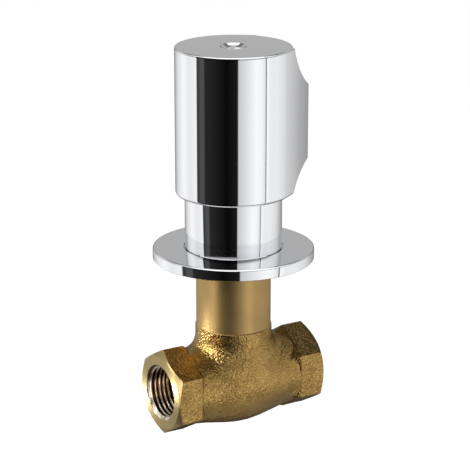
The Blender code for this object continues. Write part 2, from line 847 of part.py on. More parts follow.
def rounded_end(radius, count=3):
    """(distance from the end, inset) pairs of a rounded edge, the end itself first."""
    return [
        (radius * (1 - math.sin(a)), radius * (1 - math.cos(a)))
        for a in [math.pi / 2 * (1 - i / count) for i in range(count + 1)]
    ]


def grip_levels():
    """Heights above the foot where the handle is lofted, closest where the scoops turn."""
    steps = 7
    foot_span = GRIP_FOOT_SCOOP_DEPTH - HANDLE_FOOT_ROUND
    foot = [HANDLE_FOOT_ROUND + foot_span * i / steps for i in range(1, steps + 1)]
    top_span = GRIP_TOP_SCOOP_DEPTH - HANDLE_TOP_ROUND
    top = [HANDLE_HEIGHT - HANDLE_TOP_ROUND - top_span * i / steps for i in range(1, steps + 1)]
    return foot + top[::-1]


def make_handle():
    """A hollow casting: a cylinder that swells out on one side into a fin to grip."""
    facets = (GRIP_END_FACETS, GRIP_FLANK_FACETS, GRIP_ROUND_FACETS)
    sections = []
    for up, inset in rounded_end(HANDLE_FOOT_ROUND):
        sections.append((up, inset))
    for height in grip_levels():
        sections.append((height, 0.0))
    for down, inset in rounded_end(HANDLE_TOP_ROUND)[::-1]:
        sections.append((HANDLE_HEIGHT - down, inset))
    outer = []
    for height, inset in sections:
        radius, reach, limit = HANDLE_RADIUS - inset, GRIP_REACH - inset, grip_limit(height) - inset
        outer.append((HANDLE_FOOT_HEIGHT + height, grip_outline(radius, reach, limit, facets)))
    handle = loft("handle", outer, "chrome")
    handle.rotation_euler = (0.0, 0.0, GRIP_AZIMUTH)

    cavity_facets = (CAVITY_END_FACETS, CAVITY_FLANK_FACETS, CAVITY_ROUND_FACETS)
    inner_reach = GRIP_REACH - 2 * HANDLE_WALL
    hollow_top = HANDLE_HEIGHT - HANDLE_CROWN
    heights = [0.0] + [height for height in grip_levels() if height < hollow_top] + [hollow_top]
    inner = []
    for height in heights:
        limit = grip_limit(height) - HANDLE_WALL
        outline = grip_outline(HANDLE_RADIUS - HANDLE_WALL, inner_reach, limit, cavity_facets)
        inner.append((HANDLE_FOOT_HEIGHT + height, outline))
    inner.insert(0, (HANDLE_FOOT_HEIGHT - FIT, inner[0][1]))
    hollow = loft("handle_hollow", inner)
    boss_radius = ADAPTER_ACROSS_FLATS / 2 / math.cos(math.pi / 6) + FIT + BOSS_WALL
    boss_foot = EXTENSION_SHOULDER + 2 * FIT
    around_boss = turned(
        "around_boss",
        [
            (0.0, HANDLE_TOP),
            (boss_radius, HANDLE_TOP),
            (boss_radius, boss_foot),
            (0.0, boss_foot),
        ],
    )
    cut(hollow, around_boss)
    hollow.rotation_euler = (0.0, 0.0, GRIP_AZIMUTH)
    cut(handle, hollow)
    recess = hex_prism("adapter_recess", ADAPTER_ACROSS_FLATS + 2 * FIT, boss_foot - FIT, WEB_FOOT)
    cut(handle, recess)
    well_radius = HANDLE_SCREW_HEAD_RADIUS + FIT
    cap_foot = HANDLE_TOP + CAP_PROUD - CAP_HEIGHT - FIT
    screw_well = turned(
        "screw_well",
        [
            (0.0, HANDLE_TOP + FIT),
            (CAP_RADIUS + FIT, HANDLE_TOP + FIT),
            (CAP_RADIUS + FIT, cap_foot),
            (well_radius, cap_foot),
            (well_radius, WEB_TOP),
            (HANDLE_SCREW_RADIUS + FIT, WEB_TOP),
            (HANDLE_SCREW_RADIUS + FIT, WEB_FOOT - FIT),
            (0.0, WEB_FOOT - FIT),
        ],
    )
    cut(handle, screw_well)


def make_handle_fixing():
    head_top = WEB_TOP + FIT + HANDLE_SCREW_HEAD_HEIGHT
    tip = WEB_TOP + FIT - HANDLE_SCREW_LENGTH
    screw = turned(
        "handle_screw",
        [
            (0.0, head_top),
            (HANDLE_SCREW_HEAD_RADIUS, head_top),
            (HANDLE_SCREW_HEAD_RADIUS, WEB_TOP + FIT),
            (HANDLE_SCREW_RADIUS, WEB_TOP + FIT),
            (HANDLE_SCREW_RADIUS, tip),
            (0.0, tip),
        ],
        "steel",
        SMALL_STEPS,
    )
    cut(screw, hex_prism("screw_drive", DRIVE_ACROSS_FLATS, head_top - DRIVE_DEPTH, head_top + FIT))

    top = HANDLE_TOP + CAP_PROUD
    edge = arc((CAP_RADIUS - CAP_ROUND, top - CAP_ROUND), CAP_ROUND, math.pi / 2, 0.0, 3)
    turned(
        "index_cap",
        [
            (0.0, top - CAP_DISH_DEPTH),
            (CAP_DISH_RADIUS, top - CAP_DISH_DEPTH),
            *edge,
            (CAP_RADIUS, top - CAP_HEIGHT),
            (0.0, top - CAP_HEIGHT),
        ],
        "chrome",
        SMALL_STEPS,
    )


def make_sleeve():
    """Tube that hides the bonnet: its lip sits on the bonnet's shoulder under a nut."""
    lip_foot = BONNET_SHOULDER_TOP + FIT
    lip_top = lip_foot + SLEEVE_LIP_THICKNESS
    hole_radius = BONNET_THREAD_RADIUS + FIT
    turned(
        "sleeve",
        [
            (hole_radius, lip_top),
            (SLEEVE_RADIUS - NECK_CHAMFER, lip_top),
            (SLEEVE_RADIUS, lip_top - NECK_CHAMFER),
            (SLEEVE_RADIUS, SLEEVE_FOOT_HEIGHT),
            (SLEEVE_RADIUS - SLEEVE_WALL, SLEEVE_FOOT_HEIGHT),
            (SLEEVE_RADIUS - SLEEVE_WALL, lip_foot),
            (hole_radius, lip_foot),
        ],
        "chrome",
        closed=True,
    )
    nut_foot = lip_top + FIT
    nut = hex_prism(
        "sleeve_nut",
        SLEEVE_NUT_ACROSS_FLATS,
        nut_foot,
        nut_foot + SLEEVE_NUT_THICKNESS,
        "turned_brass",
    )
    nut_bore = turned(
        "sleeve_nut_bore",
        [
            (0.0, nut_foot + SLEEVE_NUT_THICKNESS + FIT),
            (hole_radius, nut_foot + SLEEVE_NUT_THICKNESS + FIT),
            (hole_radius, nut_foot - FIT),
            (0.0, nut_foot - FIT),
        ],
    )
    cut(nut, nut_bore)


def make_flange():
    """Pressed wall flange, hollow behind, with the ring that grips the sleeve and a seal to the wall."""
    bore = SLEEVE_RADIUS + FIT
    groove_height = FLANGE_RING_THICKNESS + 2 * FIT
    middle = FLANGE_FOOT_HEIGHT + FLANGE_THICKNESS / 2
    groove_radius = bore + FLANGE_RING_THICKNESS
    collar_radius = bore + FLANGE_COLLAR_WALL
    hollow_top = FLANGE_TOP - FLANGE_WALL
    edge_centre = (FLANGE_RADIUS - FLANGE_EDGE_ROUND, FLANGE_TOP - FLANGE_EDGE_ROUND)
    edge = arc(edge_centre, FLANGE_EDGE_ROUND, math.pi / 2, 0.0, 3)
    turned(
        "flange",
        [
            (bore, FLANGE_TOP),
            *edge,
            (FLANGE_RADIUS, FLANGE_FOOT_HEIGHT),
            (FLANGE_RADIUS - FLANGE_WALL, FLANGE_FOOT_HEIGHT),
            (FLANGE_RADIUS - FLANGE_WALL, hollow_top),
            (collar_radius, hollow_top),
            (collar_radius, FLANGE_FOOT_HEIGHT),
            (bore, FLANGE_FOOT_HEIGHT),
            (bore, middle - groove_height / 2),
            (groove_radius, middle - groove_height / 2),
            (groove_radius, middle + groove_height / 2),
            (bore, middle + groove_height / 2),
        ],
        "chrome",
        closed=True,
    )
    section = FLANGE_RING_THICKNESS - FIT
    o_ring("flange_o_ring", "rubber", groove_radius - FIT - section / 2, middle, section)
    ring(
        "flange_seal",
        "foam",
        FLANGE_RADIUS - FLANGE_WALL - FIT,
        collar_radius + FLANGE_SEAL_GAP,
        hollow_top - FIT - FLANGE_SEAL_THICKNESS,
        FLANGE_SEAL_THICKNESS,
    )


clear_scene()
PARTS = new_collection("shut_off_valve")
CUTTERS = new_collection("cutters")
make_valve_body()
make_bonnet()
make_spindle()
make_plug()
make_extension()
make_handle()
make_handle_fixing()
make_sleeve()
make_flange()
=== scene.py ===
"""Looks of the concealed shut-off valve: polished chrome handle, sleeve and wall flange over a cast
brass globe body with a machined neck and threaded ports. Everything is in metres."""

import json
import math

import bmesh
import bpy
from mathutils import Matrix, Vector, noise


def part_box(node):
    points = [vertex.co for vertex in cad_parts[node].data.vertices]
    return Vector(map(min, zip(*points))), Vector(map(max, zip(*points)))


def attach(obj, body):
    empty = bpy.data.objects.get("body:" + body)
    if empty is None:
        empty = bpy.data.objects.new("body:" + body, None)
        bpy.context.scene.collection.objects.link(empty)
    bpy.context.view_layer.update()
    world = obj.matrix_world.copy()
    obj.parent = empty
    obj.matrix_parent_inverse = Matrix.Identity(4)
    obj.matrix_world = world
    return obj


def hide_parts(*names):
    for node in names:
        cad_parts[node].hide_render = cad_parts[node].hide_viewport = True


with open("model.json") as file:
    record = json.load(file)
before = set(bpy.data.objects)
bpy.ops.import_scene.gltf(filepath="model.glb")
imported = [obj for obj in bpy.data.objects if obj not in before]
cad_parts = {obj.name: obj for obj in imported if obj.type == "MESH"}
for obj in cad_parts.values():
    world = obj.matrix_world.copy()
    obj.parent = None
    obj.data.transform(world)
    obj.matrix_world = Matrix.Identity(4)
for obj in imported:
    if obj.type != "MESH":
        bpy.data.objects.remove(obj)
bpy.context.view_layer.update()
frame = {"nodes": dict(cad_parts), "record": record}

# Sizes read from the frame
HANDLE_LOW, HANDLE_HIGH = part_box("handle")
SLEEVE_LOW, SLEEVE_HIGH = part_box("sleeve")
FLANGE_LOW, FLANGE_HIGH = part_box("flange")
CAP_LOW, CAP_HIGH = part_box("index_cap")
BODY_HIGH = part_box("valve_body")[1]

# Handle, a round body drawn out into a fin
HANDLE_RADIUS = -HANDLE_LOW[0]
HANDLE_FOOT = HANDLE_LOW[2]
HANDLE_HEIGHT = HANDLE_HIGH[2] - HANDLE_LOW[2]
HANDLE_WALL = 0.0018
HANDLE_TOP_ROUND = 0.0006
HANDLE_FOOT_ROUND = 0.0010
HANDLE_HOLLOW_HEIGHT = 0.0200
GRIP_REACH = 0.0318
GRIP_AZIMUTH = math.radians(-2)
GRIP_TIP_RADIUS = 0.0013
GRIP_FLANK_RADIUS = 0.1000
GRIP_SCOOP_ROOT = 0.0175
GRIP_TOP_SCOOP_DEPTH = 0.0173
GRIP_TOP_SCOOP_RADIUS = 0.0280
GRIP_FOOT_SCOOP_DEPTH = 0.0092
GRIP_FOOT_SCOOP_RADIUS = 0.0160
GRIP_CORNER_SOFTNESS = 0.0012

# Button in the handle's top, with a dish whose wall steepens towards its edge
CAP_RADIUS = CAP_HIGH[0]
CAP_ROUND = 0.00012
CAP_DISH_RADIUS = CAP_RADIUS - CAP_ROUND
CAP_DISH_FLOOR_RADIUS = 0.0030
CAP_DISH_DEPTH = 0.0009
CAP_DISH_CURVE = 1.4
CAP_SEAT_GAP = 0.0002
CAP_SEAT_DEPTH = 0.0020

# Sleeve and flange
SLEEVE_RADIUS = SLEEVE_HIGH[0]
SLEEVE_WALL = 0.0012
SLEEVE_ROUND = 0.0003
SLEEVE_LIP = 0.0016
SLEEVE_LIP_RADIUS = 0.0098
FLANGE_RADIUS = FLANGE_HIGH[0]
FLANGE_WALL = 0.0012
FLANGE_ROUND = 0.0007
FLANGE_COLLAR_WALL = 0.0024
FLANGE_EDGE_BREAK = 0.0002
FLANGE_GAP = 0.0003

# Cast body, whose hexagon shoulders slope down to the barrel: crisply at the inlet, then softly
INLET, OUTLET = -1, 1
PORT_FACE = BODY_HIGH[0]
HEX_ACROSS_FLATS = 0.0290
HEX_LENGTH = 0.0103
HEX_FACE_RADIUS = 0.0139
HEX_CHAMFER_ANGLE = math.radians(30)
HEX_CORNER_ROUND = 0.0008
HEX_SHOULDER_ROUND = 0.0007
HEX_SHOULDER_RUNS_FOR_RISE = {INLET: 0.9, OUTLET: 1.8}
BARREL_RADIUS = 0.0170
BARREL_END_RADIUS = 0.0142
BARREL_INTO_HEX = 0.0012
CAST_FILLET = 0.0045
CAST_FILLET_FADE_HEIGHT = 0.0080
CAST_SINK = 0.0001
CAST_LUMP = 0.0022
CAST_LUMP_DEPTH = 0.00006
FINER_LUMPS = 2.3
FINER_LUMPS_SHARE = 0.5
NECK_RADIUS = 0.0140
NECK_FOOT = 0.0219
NECK_TOP = BODY_HIGH[2]
NECK_CAST_STEP = 0.00045
NECK_TURNED_FOOT = NECK_FOOT - 0.4 * NECK_CAST_STEP
NECK_CHAMFER = 0.0005
NECK_BORE_RADIUS = 0.0106
NECK_BORE_DEPTH = 0.0165
CHAMBER_RADIUS = 0.0095
SEAT_HEIGHT = 0.0022
SEAT_STEP = 0.0012
SEAT_RIM_RADIUS = 0.0070
SEAT_BORE_RADIUS = 0.0055

# Ports with their G 1/2 inside thread. A flat is a share of the pitch
THREAD_PITCH = 0.001814
THREAD_CREST_RADIUS = 0.00932
THREAD_ROOT_RADIUS = 0.01035
THREAD_FLAT = 0.14
PORT_MOUTH_RADIUS = 0.0105
PORT_MOUTH_STEP = 0.00001
PORT_MOUTH_DEPTH = 0.0008
PORT_DEPTH = 0.0125
PORT_CONE_DEPTH = 0.0016
PORT_CONE_RADIUS = 0.0066

# Passages, which run askew from the port's floor to under or over the seat
PASSAGE_RADIUS = 0.0050
PASSAGE_PORT_OFFSET = 0.0014
PASSAGE_SEAT_OFFSET = 0.0090
PASSAGE_END = 0.0040
PASSAGE_SHARES = (0.0, 0.02, 1.0)

# How finely the meshes are cut
TURN_STEPS = 256
EDGE_STEPS = 8
HANDLE_FOOT_EDGE_STEPS = 6
SLEEVE_EDGE_STEPS = 4
CAP_DISH_STEPS = 16
GRIP_LEVELS = 110
GRIP_END_STEPS = 16
GRIP_FLANK_STEPS = 30
GRIP_ROUND_STEPS = 110
BODY_COLUMNS = 240
BARREL_ROWS = 42
SHOULDER_ROWS = 12
HEX_ROWS = 14
ROOT_COLUMNS = 180
ROOT_ROWS = 44
ROOT_HALVINGS = 16
CHAMBER_COLUMNS = 48
WELD_DISTANCE = 1e-7
SHARP_ANGLE = math.radians(30)

# Camera fitted to the photograph, which is 470 pixels square
CAMERA_AZIMUTH = math.radians(-31.45)
CAMERA_PITCH = math.radians(17.125)
CAMERA_DISTANCE = 0.6843
CAMERA_HEIGHT = 0.2669
CAMERA_LENS = 147.83
CAMERA_SENSOR = 36.0
CAMERA_SHIFT = 0.0034
CAMERA_CLIP = 0.01

# Chrome
CHROME_COLOR = (0.83, 0.835, 0.85)
CHROME_HAZE = 0.012
CHROME_ROUGHNESS = (0.030, 0.055)
CHROME_WAVE = 0.020
CHROME_WAVE_DEPTH = 0.0002
CHROME_WAVE_STRENGTH = 0.10

# Cast skin
CAST_GRAIN = 0.00075
CAST_GRAIN_DEPTH = 0.00016
CAST_GRAIN_WARP = 0.5 * CAST_GRAIN
CAST_GLINT = 0.00042
CAST_GLINT_TILT = 0.32
CAST_ROUGHNESS = 0.28
CAST_PATCH = 0.006
CAST_DARK = (0.39, 0.240, 0.074)
CAST_BRIGHT = (0.48, 0.310, 0.098)

# Brass cut on a lathe, with the colour and roughness of each kind
NECK_FINISH = (0.53, 0.355, 0.140), 0.45
FACE_FINISH = (0.46, 0.345, 0.150), 0.32
THREAD_FINISH = (0.86, 0.740, 0.600), 0.22
INNER_FINISH = (0.74, 0.560, 0.280), 0.28
TURNED_PATCH = 0.010
TURNED_DARKER = 0.88
TOOL_MARK = 0.00022
TOOL_MARK_DEPTH = 0.00006
TOOL_MARK_STRENGTH = 0.25
FACE_ANISOTROPY = 0.85
FACE_ROTATION = 0.25
# Painted shade in the thread roots: its colour, how far past the crest it starts, and how far short
# of the root it is full
THREAD_ROOT_SHADE = (0.16, 0.11, 0.08)
ROOT_SHADE_FROM_CREST = 0.0001
ROOT_SHADE_FROM_ROOT = 0.0003

# Scale of the tool marks along X, Y and Z, by which they are drawn out across the axis of the cut
ROUND_SPINDLE = (0.02, 0.02, 1.0)
ROUND_PIPE = (1.0, 0.02, 0.02)

# Inner pieces
MOTTLE = 0.003
MOTTLE_DARKER = 0.8
GRAIN_STRENGTH = 0.3

# Floor and world
FLOOR_HEIGHT = -0.22
FLOOR_SIZE = 12.0
FLOOR_GREY = 0.85
FLOOR_ROUGHNESS = 0.9
FLOOR_GLOW = 0.82
WORLD_LIGHT = 0.20

# Round studio wall that the chrome mirrors. A share is of a panel's full brightness
TENT_RADIUS = 0.60
TENT_HOLE_RADIUS = 0.02
TENT_FOOT = FLOOR_HEIGHT + 0.003
TENT_TOP = 0.45
TENT_COLUMNS = 144
TENT_BRIGHTEST = 1.25
TENT_FLOOR_SHARE = 0.45
TENT_LOW_SHARE = 0.60
TENT_LOW_HEIGHT = TENT_FOOT + 0.00667
TENT_FULL_LOW, TENT_FULL_HIGH = -0.165, 0.28
TENT_GAP_SHARE = 0.30
TENT_GAP_LOW, TENT_GAP_HIGH = 0.045, 0.190
TENT_GAP_BLUR = 0.02

# Panels of the wall, as (degrees from the camera's side towards its picture's right, brightness)
BEHIND_LEFT = [(-180.0, 0.06), (-170.0, 0.10), (-160.0, 0.36)]
LEFT = [(-138.0, 0.82), (-113.0, 1.12), (-94.0, 0.96), (-75.2, 1.06)]
DARK_LEFT = [(-74.4, 0.020), (-67.0, 0.085), (-59.0, 0.090), (-56.0, 0.024)]
DARK_FRONT = [(-13.0, 0.003), (8.4, 0.012)]
RIGHT = [(9.4, 0.68), (45.0, 1.14), (57.0, 1.08), (65.0, 0.84)]
FAR_RIGHT = [(66.5, 1.15), (76.0, 0.99), (95.0, 0.99), (120.0, 0.82)]
BEHIND_RIGHT = [(142.0, 0.46), (161.0, 0.30), (170.0, 0.08)]
TENT_PANELS = BEHIND_LEFT + LEFT + DARK_LEFT + DARK_FRONT + RIGHT + FAR_RIGHT + BEHIND_RIGHT

# Cards
CARD_COLUMNS = 24
FRONT_CARD_TOP = 1.10
OVERHEAD_HEIGHT = 1.11
OVERHEAD_STEPS = 48
RIM_LIGHT = 1.35
CHROME_PIECES = ("grip_handle", "handle_button", "chrome_sleeve", "wall_flange")


class NodeTree:
    """Short hand for building a material or world from nodes."""

    def __init__(self, tree):
        self.tree = tree

    def add(self, kind, inputs=None, **settings):
        node = self.tree.nodes.new(kind)
        for name, value in settings.items():
            setattr(node, name, value)
        for name, value in (inputs or {}).items():
            if isinstance(value, bpy.types.NodeSocket):
                self.tree.links.new(value, node.inputs[name])
            else:
                node.inputs[name].default_value = value
        return node

    def link(self, source, target):
        self.tree.links.new(source, target)

    def ramp(self, fac, stops):
        node = self.tree.nodes.new("ShaderNodeValToRGB")
        elements = node.color_ramp.elements
        while len(elements) > 1:
            elements.remove(elements[-1])
        elements[0].position = stops[0][0]
        elements[0].color = stops[0][1]
        for position, color in stops[1:]:
            elements.new(position).color = color
        self.link(fac, node.inputs["Fac"])
        return node


def grey(value):
    return (value, value, value, 1.0)


def new_material(name):
    """A material with its Principled shader, and the tree to add to."""
    made = bpy.data.materials.new(name)
    made.use_nodes = True
    tree = NodeTree(made.node_tree)
    return made, tree, made.node_tree.nodes["Principled BSDF"]


def object_position(tree):
    return tree.add("ShaderNodeTexCoord").outputs["Object"]


def noise_value(tree, position, size, detail=2.0, roughness=0.5):
    """Noise whose features are about this size in metres."""
    return tree.add(
        "ShaderNodeTexNoise",
        {"Vector": position, "Scale": 1 / size, "Detail": detail, "Roughness": roughness},
    ).outputs["Fac"]


def mottled(tree, shader, value, dark, bright, edges=(0.35, 0.65)):
    """Colours a shader from dark to bright as a noise value passes between two edges."""
    low, high = edges
    color = tree.ramp(value, [(low, (*dark, 1.0)), (high, (*bright, 1.0))])
    tree.link(color.outputs["Color"], shader.inputs["Base Color"])


def bumped(tree, shader, height, strength, depth):
    """Gives a shader the relief of a height, this deep in metres."""
    bump = tree.add("ShaderNodeBump", {"Height": height, "Strength": strength, "Distance": depth})
    tree.link(bump.outputs["Normal"], shader.inputs["Normal"])


def chrome_material():
    """Polished chrome plate with the faintest haze and no scratches."""
    made, tree, shader = new_material("polished_chrome")
    shader.inputs["Metallic"].default_value = 1.0
    shader.inputs["Base Color"].default_value = (*CHROME_COLOR, 1.0)
    position = object_position(tree)
    haze = noise_value(tree, position, CHROME_HAZE, detail=3.0)
    smooth, hazy = CHROME_ROUGHNESS
    roughness = tree.add(
        "ShaderNodeMapRange",
        {"Value": haze, "From Min": 0.3, "From Max": 0.7, "To Min": smooth, "To Max": hazy},
    )
    tree.link(roughness.outputs["Result"], shader.inputs["Roughness"])
    waves = noise_value(tree, position, CHROME_WAVE, detail=1.0)
    bumped(tree, shader, waves, CHROME_WAVE_STRENGTH, CHROME_WAVE_DEPTH)
    return made


def cast_brass_material():
    """Sand-cast, tumbled brass: a pebbled skin whose grains each catch the light."""
    made, tree, shader = new_material("rough_cast_brass")
    shader.inputs["Metallic"].default_value = 1.0
    shader.inputs["Roughness"].default_value = CAST_ROUGHNESS
    position = object_position(tree)
    patches = noise_value(tree, position, CAST_PATCH)
    mottled(tree, shader, patches, CAST_DARK, CAST_BRIGHT)
    warp = tree.add(
        "ShaderNodeTexNoise", {"Vector": position, "Scale": 1 / CAST_GRAIN, "Detail": 1.0}
    )
    bent = tree.add(
        "ShaderNodeVectorMath",
        {0: warp.outputs["Color"], "Scale": CAST_GRAIN_WARP},
        operation="SCALE",
    )
    place = tree.add(
        "ShaderNodeVectorMath", {0: position, 1: bent.outputs["Vector"]}, operation="ADD"
    )
    grain = tree.add(
        "ShaderNodeTexVoronoi", {"Vector": place.outputs["Vector"], "Scale": 1 / CAST_GRAIN}
    )
    bump = tree.add(
        "ShaderNodeBump",
        {"Height": grain.outputs["Distance"], "Strength": 1.0, "Distance": CAST_GRAIN_DEPTH},
        invert=True,
    )
    fine = tree.add("ShaderNodeTexVoronoi", {"Vector": position, "Scale": 1 / CAST_GLINT})
    offset = tree.add(
        "ShaderNodeVectorMath",
        {0: fine.outputs["Color"], 1: (0.5, 0.5, 0.5)},
        operation="SUBTRACT",
    )
    tilted = tree.add(
        "ShaderNodeVectorMath",
        {0: offset.outputs["Vector"], 1: (CAST_GLINT_TILT,) * 3, 2: bump.outputs["Normal"]},
        operation="MULTIPLY_ADD",
    )
    normal = tree.add(
        "ShaderNodeVectorMath", {0: tilted.outputs["Vector"]}, operation="NORMALIZE"
    )
    tree.link(normal.outputs["Vector"], shader.inputs["Normal"])
    return made


def turned_brass_material(name, base, roughness, mark_scale, faced=False):
    """Brass cut on a lathe, with fine lines round the axis whose scale is 1.

    A faced surface, square to the pipe line, shines in a fan as its round tool marks do."""
    made, tree, shader = new_material(name)
    shader.inputs["Metallic"].default_value = 1.0
    shader.inputs["Roughness"].default_value = roughness
    position = object_position(tree)
    dark = tuple(TURNED_DARKER * value for value in base)
    shade = noise_value(tree, position, TURNED_PATCH, detail=3.0)
    mottled(tree, shader, shade, dark, base)
    stretched = tree.add("ShaderNodeMapping", {"Vector": position, "Scale": mark_scale})
    along = stretched.outputs["Vector"]
    rings = noise_value(tree, along, TOOL_MARK, detail=3.0, roughness=0.6)
    bumped(tree, shader, rings, TOOL_MARK_STRENGTH, TOOL_MARK_DEPTH)
    if faced:
        place = tree.add("ShaderNodeSeparateXYZ", {"Vector": position}).outputs
        down = tree.add("ShaderNodeMath", {0: place["Z"], 1: -1.0}, operation="MULTIPLY")
        around = tree.add("ShaderNodeCombineXYZ", {"Y": down.outputs["Value"], "Z": place["Y"]})
        tangent = tree.add(
            "ShaderNodeVectorTransform",
            {"Vector": around.outputs["Vector"]},
            vector_type="VECTOR",
            convert_from="OBJECT",
            convert_to="WORLD",
        )
        tree.link(tangent.outputs["Vector"], shader.inputs["Tangent"])
        shader.inputs["Anisotropic"].default_value = FACE_ANISOTROPY
        shader.inputs["Anisotropic Rotation"].default_value = FACE_ROTATION
    return made


def cut_thread_material():
    """Brass with a thread cut in it, its colour darkened towards the thread roots as painted shade,
    which fades out at the port's mouth.
    """
    made = turned_brass_material("cut_thread_brass", *THREAD_FINISH, ROUND_PIPE)
    tree = NodeTree(made.node_tree)
    shader = made.node_tree.nodes["Principled BSDF"]
    bright = shader.inputs["Base Color"].links[0].from_socket
    place = tree.add("ShaderNodeSeparateXYZ", {"Vector": object_position(tree)}).outputs
    from_axis = tree.add("ShaderNodeCombineXYZ", {"X": place["Y"], "Y": place["Z"]})
    radius = tree.add(
        "ShaderNodeVectorMath", {0: from_axis.outputs["Vector"]}, operation="LENGTH"
    )
    depth = tree.add(
        "ShaderNodeMapRange",
        {
            "Value": radius.outputs["Value"],
            "From Min": THREAD_CREST_RADIUS + ROOT_SHADE_FROM_CREST,
            "From Max": THREAD_ROOT_RADIUS - ROOT_SHADE_FROM_ROOT,
        },
    )
    along = tree.add("ShaderNodeMath", {0: place["X"]}, operation="ABSOLUTE")
    inside = tree.add(
        "ShaderNodeMapRange",
        {
            "Value": along.outputs["Value"],
            "From Min": PORT_FACE - PORT_MOUTH_DEPTH,
            "From Max": PORT_FACE - PORT_MOUTH_DEPTH / 2,
            "To Min": 1.0,
            "To Max": 0.0,
        },
    )
    # Painted shade: none on the crests, full deep in the roots, fading out towards the port's mouth
    root_shade = tree.add(
        "ShaderNodeMath",
        {0: depth.outputs["Result"], 1: inside.outputs["Result"]},
        operation="MULTIPLY",
    )
    # The painted shade darkens the thread's base colour
    root_shade_tint = tree.ramp(root_shade.outputs["Value"], [(0.0, grey(1.0)), (1.0, (*THREAD_ROOT_SHADE, 1.0))])
    root_shaded = tree.add(
        "ShaderNodeVectorMath", {0: bright, 1: root_shade_tint.outputs["Color"]}, operation="MULTIPLY"
    )
    tree.link(root_shaded.outputs["Vector"], shader.inputs["Base Color"])
    return made


def plain_material(name, color, roughness, grain, depth, metallic=0.0):
    """A small inner piece: one colour, mottled a little, with a fine grain."""
    made, tree, shader = new_material(name)
    shader.inputs["Metallic"].default_value = metallic
    shader.inputs["Roughness"].default_value = roughness
    position = object_position(tree)
    darker = tuple(MOTTLE_DARKER * value for value in color)
    mottle = noise_value(tree, position, MOTTLE, detail=3.0)
    mottled(tree, shader, mottle, darker, color, edges=(0.3, 0.7))
    bumped(tree, shader, noise_value(tree, position, grain), GRAIN_STRENGTH, depth)
    return made


CHROME = chrome_material()
CAST_BRASS = cast_brass_material()
NECK_BRASS = turned_brass_material("turned_neck_brass", *NECK_FINISH, ROUND_SPINDLE)
FACE_BRASS = turned_brass_material("faced_port_brass", *FACE_FINISH, ROUND_PIPE, faced=True)
THREAD_BRASS = cut_thread_material()
INNER_BRASS = turned_brass_material("turned_brass", *INNER_FINISH, ROUND_SPINDLE)
SLOT_MATERIALS = {
    "turned_brass": INNER_BRASS,
    "cast_brass": CAST_BRASS,
    "chrome": CHROME,
    "steel": plain_material(
        "screw_steel", (0.55, 0.55, 0.56), roughness=0.30, grain=0.0002, depth=0.00002, metallic=1.0
    ),
    "rubber": plain_material(
        "black_rubber", (0.03, 0.03, 0.03), roughness=0.55, grain=0.0002, depth=0.00002
    ),
    "fibre": plain_material(
        "red_fibre", (0.42, 0.12, 0.08), roughness=0.75, grain=0.0003, depth=0.00005
    ),
    "white_plastic": plain_material(
        "white_acetal", (0.80, 0.79, 0.76), roughness=0.38, grain=0.0004, depth=0.00002
    ),
    "foam": plain_material(
        "grey_foam", (0.20, 0.20, 0.21), roughness=0.90, grain=0.0005, depth=0.00020
    ),
}

# Materials of the brass body, and the number of each
BODY_MATERIALS = [CAST_BRASS, FACE_BRASS, THREAD_BRASS, NECK_BRASS]
CAST, FACED, THREADED, TURNED = range(4)


def dress_inner_nodes():
    """Every solid that stays gets the material of its record's slot."""
    for part in frame["record"]["subparts"]:
        mesh = frame["nodes"][part["node"]].data
        mesh.materials.clear()
        mesh.materials.append(SLOT_MATERIALS[part["material_slot"]])


def add_object(name, data):
    """An object of a mesh, a lamp or a camera, put in the scene."""
    obj = bpy.data.objects.new(name, data)
    bpy.context.scene.collection.objects.link(obj)
    return obj


def mesh_from_rings(name, rings, materials, bands=None, loop=False):
    """Skins rings of points, each a list of one length; a ring of one point is a pole.

    bands gives the material's number for each band between two rings."""
    made = bmesh.new()
    rows = [[made.verts.new(point) for point in ring] for ring in rings]
    pairs = list(zip(rows, rows[1:]))
    if loop:
        pairs.append((rows[-1], rows[0]))
    for number, (first, second) in enumerate(pairs):
        count = max(len(first), len(second))
        for i in range(count):
            after = (i + 1) % count
            corners = [
                first[i % len(first)],
                first[after % len(first)],
                second[after % len(second)],
                second[i % len(second)],
            ]
            corners = [c for k, c in enumerate(corners) if c not in corners[:k]]
            face = made.faces.new(corners)
            face.material_index = bands[number] if bands else 0
            face.smooth = True
    bmesh.ops.remove_doubles(made, verts=made.verts, dist=WELD_DISTANCE)
    bmesh.ops.recalc_face_normals(made, faces=made.faces)
    mesh = bpy.data.meshes.new(name)
    made.to_mesh(mesh)
    made.free()
    for material in materials:
        mesh.materials.append(material)
    mesh.set_sharp_from_angle(angle=SHARP_ANGLE)
    return add_object(name, mesh)


def circle(radius, height, steps=TURN_STEPS):
    if radius == 0.0:
        return [(0.0, 0.0, height)]
    angles = [math.tau * i / steps for i in range(steps)]
    return [(radius * math.cos(a), radius * math.sin(a), height) for a in angles]


def turned(name, profile, material, loop=False):
    """A profile of (radius, height) turned about the spindle axis."""
    return mesh_from_rings(name, [circle(*point) for point in profile], [material], loop=loop)


def arc(centre, radius, start, end, count):
    angles = [start + (end - start) * i / count for i in range(count + 1)]
    return [(centre[0] + radius * math.cos(a), centre[1] + radius * math.sin(a)) for a in angles]


def rounded_edge(radius, steps):
    """(along, inset) pairs over a quarter round, from the straight side to the end."""
    angles = [math.pi / 2 * i / steps for i in range(steps + 1)]
    return [(radius * math.sin(a), radius * (1 - math.cos(a))) for a in angles]


def soft_minimum(a, b, softness):
    """The smaller of two lengths, rounded off where they differ by less than the softness."""
    blend = max(softness - abs(a - b), 0.0) / softness
    return min(a, b) - blend**2 * softness / 4


def stands_for(piece, node, body):
    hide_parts(node)
    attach(piece, body)


